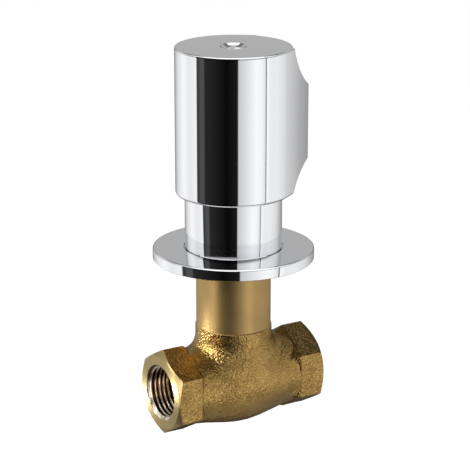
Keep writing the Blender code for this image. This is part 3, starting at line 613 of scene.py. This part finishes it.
def grip_outline(radius, reach, limit):
    """A circle drawn out to a tip on +X, cut straight across where x reaches the limit.

    Two slightly crowned flanks are tangent to the circle and to the rounded tip."""
    tip = min(GRIP_TIP_RADIUS, radius)
    middle = reach - tip
    to_body = GRIP_FLANK_RADIUS - radius
    to_tip = GRIP_FLANK_RADIUS - tip
    centre_x = (to_body**2 - to_tip**2 + middle**2) / (2 * middle)
    centre_y = -math.sqrt(max(to_body**2 - centre_x**2, 0.0))
    leave = math.atan2(-centre_y, -centre_x)
    arrive = math.atan2(-centre_y, middle - centre_x)
    corner = min(max(math.acos((limit - centre_x) / GRIP_FLANK_RADIUS), arrive), leave)

    def on_flank(turn):
        x = centre_x + GRIP_FLANK_RADIUS * math.cos(turn)
        return x, centre_y + GRIP_FLANK_RADIUS * math.sin(turn)

    half = []
    corner_x, corner_y = on_flank(corner)
    for i in range(GRIP_END_STEPS):
        angle = math.atan2(corner_y, corner_x) * i / GRIP_END_STEPS
        out = limit / math.cos(angle)
        if corner == arrive:
            across = middle * math.sin(angle)
            out = min(out, middle * math.cos(angle) + math.sqrt(tip**2 - across**2))
        out = max(out, radius)
        half.append((out * math.cos(angle), out * math.sin(angle)))
    for i in range(GRIP_FLANK_STEPS):
        half.append(on_flank(corner + (leave - corner) * i / GRIP_FLANK_STEPS))
    for i in range(GRIP_ROUND_STEPS):
        turn = leave + (math.pi - leave) * i / GRIP_ROUND_STEPS
        half.append((radius * math.cos(turn), radius * math.sin(turn)))
    mirrored = [(x, -y) for x, y in half[:0:-1]]
    return half + [(-radius, 0.0)] + mirrored


def scoop_limit(along, depth, radius):
    """How far out a scoop leaves the fin, at a distance from the handle's end: an arc."""
    rise = GRIP_REACH - GRIP_SCOOP_ROOT
    chord = math.hypot(rise, depth)
    offset = math.sqrt(max(radius**2 - chord**2 / 4, 0.0)) / chord
    centre_along = depth / 2 - rise * offset
    centre_out = (GRIP_REACH + GRIP_SCOOP_ROOT) / 2 + depth * offset
    past = along - centre_along
    if past >= radius:
        return centre_out
    return centre_out - math.sqrt(radius**2 - past**2)


def grip_limit(height):
    """How far out the fin reaches at a height above the handle's foot, between its scoops."""
    upper = scoop_limit(HANDLE_HEIGHT - height, GRIP_TOP_SCOOP_DEPTH, GRIP_TOP_SCOOP_RADIUS)
    lower = scoop_limit(height, GRIP_FOOT_SCOOP_DEPTH, GRIP_FOOT_SCOOP_RADIUS)
    below_top_scoop = soft_minimum(upper, GRIP_REACH, GRIP_CORNER_SOFTNESS)
    return soft_minimum(below_top_scoop, lower, GRIP_CORNER_SOFTNESS)


def make_handle():
    """The grip handle's skin, rounded at both ends, with the open hollow under it."""
    low, high = HANDLE_FOOT_ROUND, HANDLE_HEIGHT - HANDLE_TOP_ROUND
    foot_edge = rounded_edge(HANDLE_FOOT_ROUND, HANDLE_FOOT_EDGE_STEPS)
    sections = [(low - x, y) for x, y in foot_edge[::-1]]
    sections += [(low + (high - low) * i / GRIP_LEVELS, 0.0) for i in range(1, GRIP_LEVELS)]
    sections += [(high + x, y) for x, y in rounded_edge(HANDLE_TOP_ROUND, EDGE_STEPS)]
    turn_x, turn_y = math.cos(GRIP_AZIMUTH), math.sin(GRIP_AZIMUTH)

    def placed(outline, height):
        return [
            (x * turn_x - y * turn_y, x * turn_y + y * turn_x, HANDLE_FOOT + height)
            for x, y in outline
        ]

    def round_ring(outline, radius, height):
        """A circle whose points lie in the same directions as the outline's."""
        sizes = [radius / math.hypot(x, y) for x, y in outline]
        return placed([(x * s, y * s) for (x, y), s in zip(outline, sizes)], height)

    outlines = [
        grip_outline(HANDLE_RADIUS - inset, GRIP_REACH - inset, grip_limit(height) - inset)
        for height, inset in sections
    ]
    first, last = outlines[0], outlines[-1]
    hollow_radius = HANDLE_RADIUS - HANDLE_WALL
    rings = [[(0.0, 0.0, HANDLE_FOOT + HANDLE_HOLLOW_HEIGHT)]]
    rings.append(round_ring(first, hollow_radius, HANDLE_HOLLOW_HEIGHT))
    rings.append(round_ring(first, hollow_radius, 0.0))
    rings += [placed(outline, height) for outline, (height, _) in zip(outlines, sections)]
    seat = CAP_RADIUS + CAP_SEAT_GAP
    for radius, depth in ((seat + CAP_SEAT_GAP, 0.0), (seat, CAP_SEAT_GAP), (seat, CAP_SEAT_DEPTH)):
        rings.append(round_ring(last, radius, HANDLE_HEIGHT - depth))
    rings.append([(0.0, 0.0, HANDLE_FOOT + HANDLE_HEIGHT - CAP_SEAT_DEPTH)])
    handle = mesh_from_rings("grip_handle", rings, [CHROME])
    stands_for(handle, "handle", "turning_set")


def make_cap():
    """The blank, dished button."""
    top, foot = CAP_HIGH[2], CAP_LOW[2]
    wall = CAP_DISH_RADIUS - CAP_DISH_FLOOR_RADIUS
    profile = [(0.0, top - CAP_DISH_DEPTH)]
    for i in range(CAP_DISH_STEPS + 1):
        share = i / CAP_DISH_STEPS
        depth = CAP_DISH_DEPTH * (1 - share**CAP_DISH_CURVE)
        profile.append((CAP_DISH_FLOOR_RADIUS + wall * share, top - depth))
    profile += arc((CAP_DISH_RADIUS, top - CAP_ROUND), CAP_ROUND, math.pi / 2, 0.0, EDGE_STEPS)
    profile += [(CAP_RADIUS, foot), (0.0, foot)]
    cap = turned("handle_button", profile, CHROME)
    stands_for(cap, "index_cap", "turning_set")


def make_sleeve():
    """The tube over the headwork, with the lip at its top by which a nut holds it."""
    top, foot = SLEEVE_HIGH[2], SLEEVE_LOW[2]
    inner = SLEEVE_RADIUS - SLEEVE_WALL
    corner = SLEEVE_RADIUS - SLEEVE_ROUND
    quarter = math.pi / 2
    profile = [
        (SLEEVE_LIP_RADIUS, top),
        *arc((corner, top - SLEEVE_ROUND), SLEEVE_ROUND, quarter, 0.0, SLEEVE_EDGE_STEPS),
        *arc((corner, foot + SLEEVE_ROUND), SLEEVE_ROUND, 0.0, -quarter, SLEEVE_EDGE_STEPS),
        (inner, foot),
        (inner, top - SLEEVE_LIP),
        (SLEEVE_LIP_RADIUS, top - SLEEVE_LIP),
    ]
    sleeve = turned("chrome_sleeve", profile, CHROME, loop=True)
    stands_for(sleeve, "sleeve", "valve")


def make_flange():
    """The wall flange, a shallow cup with a collar that slides on the sleeve."""
    top, foot = FLANGE_HIGH[2], FLANGE_LOW[2]
    bore = SLEEVE_RADIUS + FLANGE_GAP
    collar = bore + FLANGE_COLLAR_WALL
    inner = FLANGE_RADIUS - FLANGE_WALL
    corner = FLANGE_RADIUS - FLANGE_ROUND
    profile = [
        (bore, top - FLANGE_EDGE_BREAK),
        (bore + FLANGE_EDGE_BREAK, top),
        *arc((corner, top - FLANGE_ROUND), FLANGE_ROUND, math.pi / 2, 0.0, EDGE_STEPS),
        (FLANGE_RADIUS, foot + FLANGE_EDGE_BREAK),
        (FLANGE_RADIUS - FLANGE_EDGE_BREAK, foot),
        (inner, foot),
        (inner, top - FLANGE_WALL),
        (collar, top - FLANGE_WALL),
        (collar, foot),
        (bore, foot),
    ]
    flange = turned("wall_flange", profile, CHROME, loop=True)
    stands_for(flange, "flange", "rosette")


def barrel_radius(along):
    """The globe's radius at a distance from its middle."""
    half_length = PORT_FACE - HEX_LENGTH + BARREL_INTO_HEX
    share = min(abs(along) / half_length, 1.0)
    bulge = (BARREL_RADIUS - BARREL_END_RADIUS) * math.cos(math.pi / 2 * share) ** 2
    return BARREL_END_RADIUS + bulge


def hex_radius(angle):
    """The hexagon's outline, corners up and down, with each corner rounded as cast."""
    half = math.pi / 6
    from_corner = abs((angle + half) % (2 * half) - half)
    across = HEX_ACROSS_FLATS / 2
    centre = (across - HEX_CORNER_ROUND) / math.cos(half)
    round_end = math.atan2(
        HEX_CORNER_ROUND * math.sin(half), centre + HEX_CORNER_ROUND * math.cos(half)
    )
    if from_corner >= round_end:
        return across / math.cos(half - from_corner)
    sideways = centre * math.sin(from_corner)
    return centre * math.cos(from_corner) + math.sqrt(max(HEX_CORNER_ROUND**2 - sideways**2, 0.0))


def rough(point):
    """How far the casting's skin stands off its true form there."""
    place = Vector(point) / CAST_LUMP
    finer = FINER_LUMPS_SHARE * noise.noise(place * FINER_LUMPS)
    return CAST_LUMP_DEPTH * (noise.noise(place) + finer)


def body_angles():
    return [math.tau * i / BODY_COLUMNS for i in range(BODY_COLUMNS)]


def around_x(places, radii):
    """A ring round the pipe line, from the top, with one place and one radius for each column."""
    return [
        (x, radius * math.sin(angle), radius * math.cos(angle))
        for angle, x, radius in zip(body_angles(), places, radii)
    ]


def square_ring(x, radius):
    """A circle round the pipe line, square to it."""
    return around_x([x] * BODY_COLUMNS, [radius] * BODY_COLUMNS)


def thread_radius(phase):
    """The cut thread's section along its axis: flat crests, sloping flanks and narrow roots."""
    phase %= 1.0
    climb = min(phase, 1.0 - phase) * 2
    share = min(max((climb - THREAD_FLAT) / (1 - 2 * THREAD_FLAT), 0.0), 1.0)
    return THREAD_CREST_RADIUS + (THREAD_ROOT_RADIUS - THREAD_CREST_RADIUS) * share


def thread_ring(toward, turns):
    """A ring of the port's wall that follows the thread, this many turns in from the face."""
    mouth_slope = (PORT_MOUTH_RADIUS - THREAD_CREST_RADIUS) / PORT_MOUTH_DEPTH
    places, radii = [], []
    for angle in body_angles():
        lead = angle / math.tau
        deep = min(max((turns - lead) * THREAD_PITCH, 0.0), PORT_DEPTH)
        cut = thread_radius(deep / THREAD_PITCH + lead) - THREAD_CREST_RADIUS
        fade = min((PORT_DEPTH - deep) / THREAD_PITCH, 1.0)
        mouth = PORT_MOUTH_RADIUS + PORT_MOUTH_STEP - deep * mouth_slope
        places.append(toward * (PORT_FACE - deep))
        radii.append(max(THREAD_CREST_RADIUS + cut * fade, mouth))
    return around_x(places, radii)


def port_rings(toward):
    """From the port's face inwards: mouth, thread, coned floor and the passage to the middle."""
    rings = [square_ring(toward * PORT_FACE, PORT_MOUTH_RADIUS)]
    flat = THREAD_FLAT / 2
    for turn in range(math.ceil(PORT_DEPTH / THREAD_PITCH) + 2):
        for sample in (0.0, flat, 0.5 - flat, 0.5 + flat, 1 - flat):
            rings.append(thread_ring(toward, turn + sample))
    floor = toward * (PORT_FACE - PORT_DEPTH - PORT_CONE_DEPTH)
    rings.append(square_ring(floor, PORT_CONE_RADIUS))
    start = Vector((floor, 0.0, toward * PASSAGE_PORT_OFFSET))
    end = Vector((toward * PASSAGE_END, 0.0, toward * PASSAGE_SEAT_OFFSET))
    for share in PASSAGE_SHARES:
        centre = start.lerp(end, share)
        rings.append([
            (centre.x, PASSAGE_RADIUS * math.sin(a), centre.z + PASSAGE_RADIUS * math.cos(a))
            for a in body_angles()
        ])
    rings.append([tuple(end)])
    return rings, [THREADED] * (len(rings) - 1)


def end_rings(toward):
    """One end of the casting, from its middle out: barrel, hexagon, lathe chamfer and face."""
    hexagon = [hex_radius(angle) for angle in body_angles()]
    rise_end = PORT_FACE - HEX_LENGTH + HEX_SHOULDER_ROUND
    run = HEX_SHOULDER_RUNS_FOR_RISE[toward]
    starts = [rise_end - run * (h - BARREL_END_RADIUS) - HEX_SHOULDER_ROUND for h in hexagon]
    chamfer_slope = math.tan(HEX_CHAMFER_ANGLE)
    ends = [PORT_FACE - (h - HEX_FACE_RADIUS) * chamfer_slope for h in hexagon]
    sections = []
    for i in range(BARREL_ROWS + 1):
        places = [start * i / BARREL_ROWS for start in starts]
        sections.append((places, [barrel_radius(x) for x in places]))
    for i in range(1, SHOULDER_ROWS + 1):
        share = i / SHOULDER_ROWS
        rise = share**2 * (3 - 2 * share)
        places = [start + (rise_end - start) * share for start in starts]
        barrel = [barrel_radius(x) for x in places]
        sections.append((places, [b + (h - b) * rise for b, h in zip(barrel, hexagon)]))
    for i in range(1, HEX_ROWS + 1):
        places = [rise_end + (end - rise_end) * i / HEX_ROWS for end in ends]
        sections.append((places, hexagon))
    rings = [around_x([toward * x for x in places], radii) for places, radii in sections]
    rings.append(square_ring(toward * PORT_FACE, HEX_FACE_RADIUS))
    return rings, [CAST] * (len(rings) - 2) + [FACED]


def roughened(rings, bands):
    """Moves the points of rings between cast bands in or out from the pipe line a little."""
    moved = []
    for number, ring in enumerate(rings):
        if set(bands[max(number - 1, 0) : number + 1]) != {CAST}:
            moved.append(ring)
            continue
        new = []
        for x, y, z in ring:
            grown = 1 + (rough((x, y, z)) - CAST_LUMP_DEPTH) / math.hypot(y, z)
            new.append((x, y * grown, z * grown))
        moved.append(new)
    return moved


def pipe_run():
    """Barrel, hexagons and ports as one skin, from the inlet's passage round to the outlet's."""
    halves = []
    for toward in (INLET, OUTLET):
        outer, outer_bands = end_rings(toward)
        inner, inner_bands = port_rings(toward)
        bands = outer_bands + [FACED] + inner_bands
        halves.append((roughened(outer + inner, bands), bands))
    (inlet, inlet_bands), (outlet, outlet_bands) = halves
    rings = inlet[::-1] + outlet[1:]
    return mesh_from_rings("brass_body", rings, BODY_MATERIALS, inlet_bands[::-1] + outlet_bands)


def outside_casting(x, y, z):
    """Rough distance outside barrel and neck with the corner between them filled."""
    barrel = math.hypot(y, z) - barrel_radius(x)
    neck = math.hypot(x, y) - NECK_RADIUS - NECK_CAST_STEP
    neck += max(CAST_FILLET_FADE_HEIGHT - z, 0.0) / 2
    return soft_minimum(barrel, neck, CAST_FILLET)


def root_ring(height):
    """A level cut of the filled casting near the neck, just under the barrel's own surface."""
    ring = []
    for i in range(ROOT_COLUMNS):
        angle = math.tau * i / ROOT_COLUMNS
        across, along = math.cos(angle), math.sin(angle)
        inner, outer = NECK_RADIUS, NECK_RADIUS + 2 * NECK_CAST_STEP + CAST_FILLET
        for _ in range(ROOT_HALVINGS):
            reach = (inner + outer) / 2
            if outside_casting(reach * across, reach * along, height) < -CAST_SINK:
                inner = reach
            else:
                outer = reach
        reach = inner + rough((inner * across, inner * along, height))
        ring.append((reach * across, reach * along, height))
    return ring


def neck():
    """The neck, cast at its root and turned above it, as a closed solid."""
    cast_top = NECK_FOOT - NECK_CAST_STEP
    cast_foot = CAST_FILLET_FADE_HEIGHT / 4
    rings = [[(0.0, 0.0, cast_foot)]]
    for i in range(ROOT_ROWS + 1):
        rings.append(root_ring(cast_foot + (cast_top - cast_foot) * i / ROOT_ROWS))
    bands = [CAST] * (ROOT_ROWS + 1)
    for radius, height in (
        (NECK_RADIUS, NECK_TURNED_FOOT),
        (NECK_RADIUS, NECK_TOP - NECK_CHAMFER),
        (NECK_RADIUS - NECK_CHAMFER, NECK_TOP),
        (0.0, NECK_TOP),
    ):
        rings.append(circle(radius, height, ROOT_COLUMNS))
        bands.append(TURNED)
    return mesh_from_rings("neck", rings, BODY_MATERIALS, bands)


def chamber():
    """The space in the neck and over the seat that is cut from the casting."""
    thread_foot = NECK_TOP - NECK_BORE_DEPTH
    profile = [
        (0.0, NECK_TOP + NECK_CHAMFER),
        (NECK_BORE_RADIUS, NECK_TOP + NECK_CHAMFER),
        (NECK_BORE_RADIUS, thread_foot),
        (CHAMBER_RADIUS, thread_foot),
        (CHAMBER_RADIUS, SEAT_HEIGHT - SEAT_STEP),
        (SEAT_RIM_RADIUS, SEAT_HEIGHT - SEAT_STEP),
        (SEAT_RIM_RADIUS, SEAT_HEIGHT),
        (SEAT_BORE_RADIUS, SEAT_HEIGHT),
        (SEAT_BORE_RADIUS, -PASSAGE_SEAT_OFFSET),
        (0.0, -PASSAGE_SEAT_OFFSET),
    ]
    rings = [circle(radius, height, CHAMBER_COLUMNS) for radius, height in profile]
    return mesh_from_rings("chamber", rings, [NECK_BRASS])


def combine(target, other, operation):
    """Applies a Boolean and removes the other object."""
    modifier = target.modifiers.new(operation.title(), "BOOLEAN")
    modifier.operation = operation
    modifier.solver = "MANIFOLD"
    modifier.object = other
    modifier.material_mode = "TRANSFER"
    bpy.context.view_layer.update()
    graph = bpy.context.evaluated_depsgraph_get()
    result = bpy.data.meshes.new_from_object(target.evaluated_get(graph))
    target.modifiers.clear()
    old = target.data
    target.data = result
    bpy.data.meshes.remove(old)
    bpy.data.objects.remove(other, do_unlink=True)


def make_body():
    """The casting with its neck and its passages, as one closed piece."""
    body = pipe_run()
    combine(body, neck(), "UNION")
    combine(body, chamber(), "DIFFERENCE")
    body.data.set_sharp_from_angle(angle=SHARP_ANGLE)
    stands_for(body, "valve_body", "valve")


def studio_piece(name, verts, faces, material):
    mesh = bpy.data.meshes.new(name)
    mesh.from_pydata(verts, [], faces)
    mesh.materials.append(material)
    return add_object(name, mesh)


def make_floor():
    """Plain white floor: full white to the eye and to metal, and still shaded by the valve."""
    material, tree, shader = new_material("white_floor")
    shader.inputs["Base Color"].default_value = grey(FLOOR_GREY)
    shader.inputs["Roughness"].default_value = FLOOR_ROUGHNESS
    path = tree.add("ShaderNodeLightPath").outputs
    seen = tree.add(
        "ShaderNodeMath",
        {0: path["Is Camera Ray"], 1: path["Is Glossy Ray"]},
        operation="MAXIMUM",
    )
    shader.inputs["Emission Color"].default_value = grey(FLOOR_GLOW)
    tree.link(seen.outputs["Value"], shader.inputs["Emission Strength"])
    half = FLOOR_SIZE / 2
    corners = [(-half, -half), (half, -half), (half, half), (-half, half)]
    verts = [(x, y, FLOOR_HEIGHT) for x, y in corners]
    floor = studio_piece("floor", verts, [(0, 1, 2, 3)], material)


def only_for_reflections(obj):
    """Hides a studio piece from the camera, and lets the lamps shine through it."""
    obj.visible_camera = False
    obj.visible_shadow = False
    obj.visible_diffuse = False


def glow_material(name):
    """A material that is light alone, with the tree to add to and the shader of that light."""
    made = bpy.data.materials.new(name)
    made.use_nodes = True
    made.node_tree.nodes.clear()
    tree = NodeTree(made.node_tree)
    emission = tree.add("ShaderNodeEmission", {"Color": grey(1.0)})
    output = tree.add("ShaderNodeOutputMaterial")
    tree.link(emission.outputs["Emission"], output.inputs["Surface"])
    return made, tree, emission


def glowing(name, verts, faces, light):
    """A card of even light, seen by reflections and not by the camera."""
    made, _, emission = glow_material(name)
    emission.inputs["Strength"].default_value = light
    glow = studio_piece(name, verts, faces, made)
    only_for_reflections(glow)
    return glow


def from_camera_side(azimuth):
    """The angle about the valve at these degrees from the camera's side, which grow towards the
    right of its picture."""
    return CAMERA_AZIMUTH - math.pi / 2 + math.radians(azimuth)


def card(name, azimuths, heights, inset, light):
    """A curved card round the valve, inside the studio wall by its inset."""
    first, last = (from_camera_side(azimuth) for azimuth in azimuths)
    radius = TENT_RADIUS - inset
    verts, faces = [], []
    for i in range(CARD_COLUMNS + 1):
        angle = first + (last - first) * i / CARD_COLUMNS
        for height in heights:
            verts.append((radius * math.cos(angle), radius * math.sin(angle), height))
    for i in range(CARD_COLUMNS):
        faces.append((2 * i, 2 * i + 2, 2 * i + 3, 2 * i + 1))
    return glowing(name, verts, faces, light)


def link_light(light, names, state):
    """Lets a light reach only some pieces (INCLUDE), or all but these (EXCLUDE)."""
    pieces = bpy.data.collections.new(light.name + "_pieces")
    for name in names:
        pieces.objects.link(bpy.data.objects[name])
    for member in pieces.collection_objects:
        member.light_linking.link_state = state
    light.light_linking.receiver_collection = pieces


def tent_material():
    """Upright panels of light, dimmer at the wall's foot and top and in a gap half way up."""
    made, tree, emission = glow_material("tent_light")
    position = object_position(tree)
    azimuth = tree.add("ShaderNodeTexGradient", {"Vector": position}, gradient_type="RADIAL")
    panels = tree.ramp(
        azimuth.outputs["Fac"],
        [(angle / 360 + 0.5, grey(value / TENT_BRIGHTEST)) for angle, value in TENT_PANELS],
    )
    height = tree.add("ShaderNodeSeparateXYZ", {"Vector": position}).outputs["Z"]
    up_wall = tree.add(
        "ShaderNodeMapRange", {"Value": height, "From Min": TENT_FOOT, "From Max": TENT_TOP}
    )
    levels = [
        (TENT_FOOT, TENT_FLOOR_SHARE),
        (TENT_LOW_HEIGHT, TENT_LOW_SHARE),
        (TENT_FULL_LOW, 1.0),
        (TENT_GAP_LOW - TENT_GAP_BLUR, 1.0),
        (TENT_GAP_LOW, TENT_GAP_SHARE),
        (TENT_GAP_HIGH - TENT_GAP_BLUR, TENT_GAP_SHARE),
        (TENT_GAP_HIGH, 1.0),
        (TENT_FULL_HIGH, 1.0),
        (TENT_TOP, TENT_LOW_SHARE),
    ]
    span = TENT_TOP - TENT_FOOT
    fade = tree.ramp(
        up_wall.outputs["Result"],
        [((level - TENT_FOOT) / span, grey(share)) for level, share in levels],
    )
    shade = tree.add(
        "ShaderNodeMath",
        {0: fade.outputs["Color"], 1: TENT_BRIGHTEST},
        operation="MULTIPLY",
    )
    tree.link(panels.outputs["Color"], emission.inputs["Color"])
    tree.link(shade.outputs["Value"], emission.inputs["Strength"])
    return made


def make_tent():
    """The studio wall that the chrome mirrors, and the floor within it."""
    rings = [(TENT_HOLE_RADIUS, TENT_FOOT), (TENT_RADIUS, TENT_FOOT), (TENT_RADIUS, TENT_TOP)]
    verts = [point for radius, level in rings for point in circle(radius, level, TENT_COLUMNS)]
    faces = []
    for band in range(len(rings) - 1):
        start, above = band * TENT_COLUMNS, (band + 1) * TENT_COLUMNS
        for i in range(TENT_COLUMNS):
            after = (i + 1) % TENT_COLUMNS
            faces.append((start + i, start + after, above + after, above + i))
    tent = studio_piece("tent", verts, faces, tent_material())
    tent.rotation_euler = (0.0, 0.0, from_camera_side(0.0))
    only_for_reflections(tent)


def make_cards():
    """A dark line on the wall, grey behind for the level tops to mirror, and cards in front and
    overhead that light the chrome and its rounded edges alone."""
    card(
        "card_gap", azimuths=(65.0, 66.7), heights=(TENT_FOOT, TENT_TOP), inset=0.002, light=0.03
    )
    card(
        "card_top_grey", azimuths=(140.0, 220.0), heights=(0.14, 0.50), inset=0.02, light=0.475
    )
    front = card(
        "card_front_high",
        azimuths=(-100.0, 100.0),
        heights=(TENT_TOP, FRONT_CARD_TOP),
        inset=0.02,
        light=RIM_LIGHT,
    )
    disc = circle(TENT_RADIUS, OVERHEAD_HEIGHT, OVERHEAD_STEPS)
    overhead = glowing("card_overhead", disc, [tuple(range(OVERHEAD_STEPS))], RIM_LIGHT)
    middle = card(
        "card_front_middle", azimuths=(-74.0, 8.0), heights=(0.315, 0.445), inset=0.01, light=0.42
    )
    for light in (front, middle, overhead):
        link_light(light, CHROME_PIECES, "INCLUDE")


def make_world():
    """White to the camera, and dim as a light."""
    world = bpy.data.worlds.new("studio")
    bpy.context.scene.world = world
    world.use_nodes = True
    world.node_tree.nodes.clear()
    tree = NodeTree(world.node_tree)
    background = tree.add("ShaderNodeBackground", {"Color": grey(1.0)})
    path = tree.add("ShaderNodeLightPath").outputs
    strength = tree.add(
        "ShaderNodeMapRange",
        {"Value": path["Is Camera Ray"], "To Min": WORLD_LIGHT, "To Max": 1.0},
    )
    tree.link(strength.outputs["Result"], background.inputs["Strength"])
    output = tree.add("ShaderNodeOutputWorld")
    tree.link(background.outputs["Background"], output.inputs["Surface"])


def softbox(name, azimuth, elevation, distance, size, power, aim=(0.0, 0.0, 0.0), spread=180.0):
    """An area lamp for all but the chrome, this far from the point that it aims at.

    The azimuth is in degrees from the camera's side towards its picture's right."""
    angle, up = from_camera_side(azimuth), math.radians(elevation)
    place = Vector((math.cos(angle) * math.cos(up), math.sin(angle) * math.cos(up), math.sin(up)))
    place *= distance
    data = bpy.data.lights.new(name, "AREA")
    data.shape = "RECTANGLE"
    data.size, data.size_y = size
    data.energy = power
    data.spread = math.radians(spread)
    light = add_object(name, data)
    light.location = place + Vector(aim)
    light.rotation_euler = place.to_track_quat("Z", "Y").to_euler()
    link_light(light, CHROME_PIECES, "EXCLUDE")


def make_lights():
    """The big lamp from the left, one for each part of the casting that it leaves dark, and a
    narrow one for the fan of light on the near port's face."""
    softbox(
        "key_softbox", azimuth=-62.0, elevation=40.0, distance=0.5, size=(0.38, 0.34), power=2.4
    )
    softbox(
        "port_softbox", azimuth=-62.0, elevation=-8.0, distance=0.5, size=(0.10, 0.26), power=0.30
    )
    softbox(
        "face_softbox",
        azimuth=-93.0,
        elevation=-15.0,
        distance=0.25,
        size=(0.02, 0.02),
        power=0.0022,
        aim=(-PORT_FACE, 0.0, 0.0),
        spread=9.0,
    )
    softbox(
        "shoulder_softbox",
        azimuth=-8.0,
        elevation=31.0,
        distance=0.5,
        size=(0.08, 0.08),
        power=0.09,
    )
    softbox(
        "body_softbox", azimuth=48.0, elevation=-13.0, distance=0.42, size=(0.09, 0.09), power=0.065
    )


def make_camera():
    data = bpy.data.cameras.new("camera")
    data.lens = CAMERA_LENS
    data.sensor_width = CAMERA_SENSOR
    data.shift_x = CAMERA_SHIFT
    data.clip_start = CAMERA_CLIP
    camera = add_object("camera", data)
    camera.location = (
        CAMERA_DISTANCE * math.sin(CAMERA_AZIMUTH),
        -CAMERA_DISTANCE * math.cos(CAMERA_AZIMUTH),
        CAMERA_HEIGHT,
    )
    camera.rotation_euler = (math.pi / 2 - CAMERA_PITCH, 0.0, CAMERA_AZIMUTH)
    bpy.context.scene.camera = camera
    bpy.context.scene.view_settings.view_transform = "Standard"


make_camera()
dress_inner_nodes()
make_handle()
make_cap()
make_sleeve()
make_flange()
make_body()
make_floor()
make_tent()
make_cards()
make_world()
make_lights()
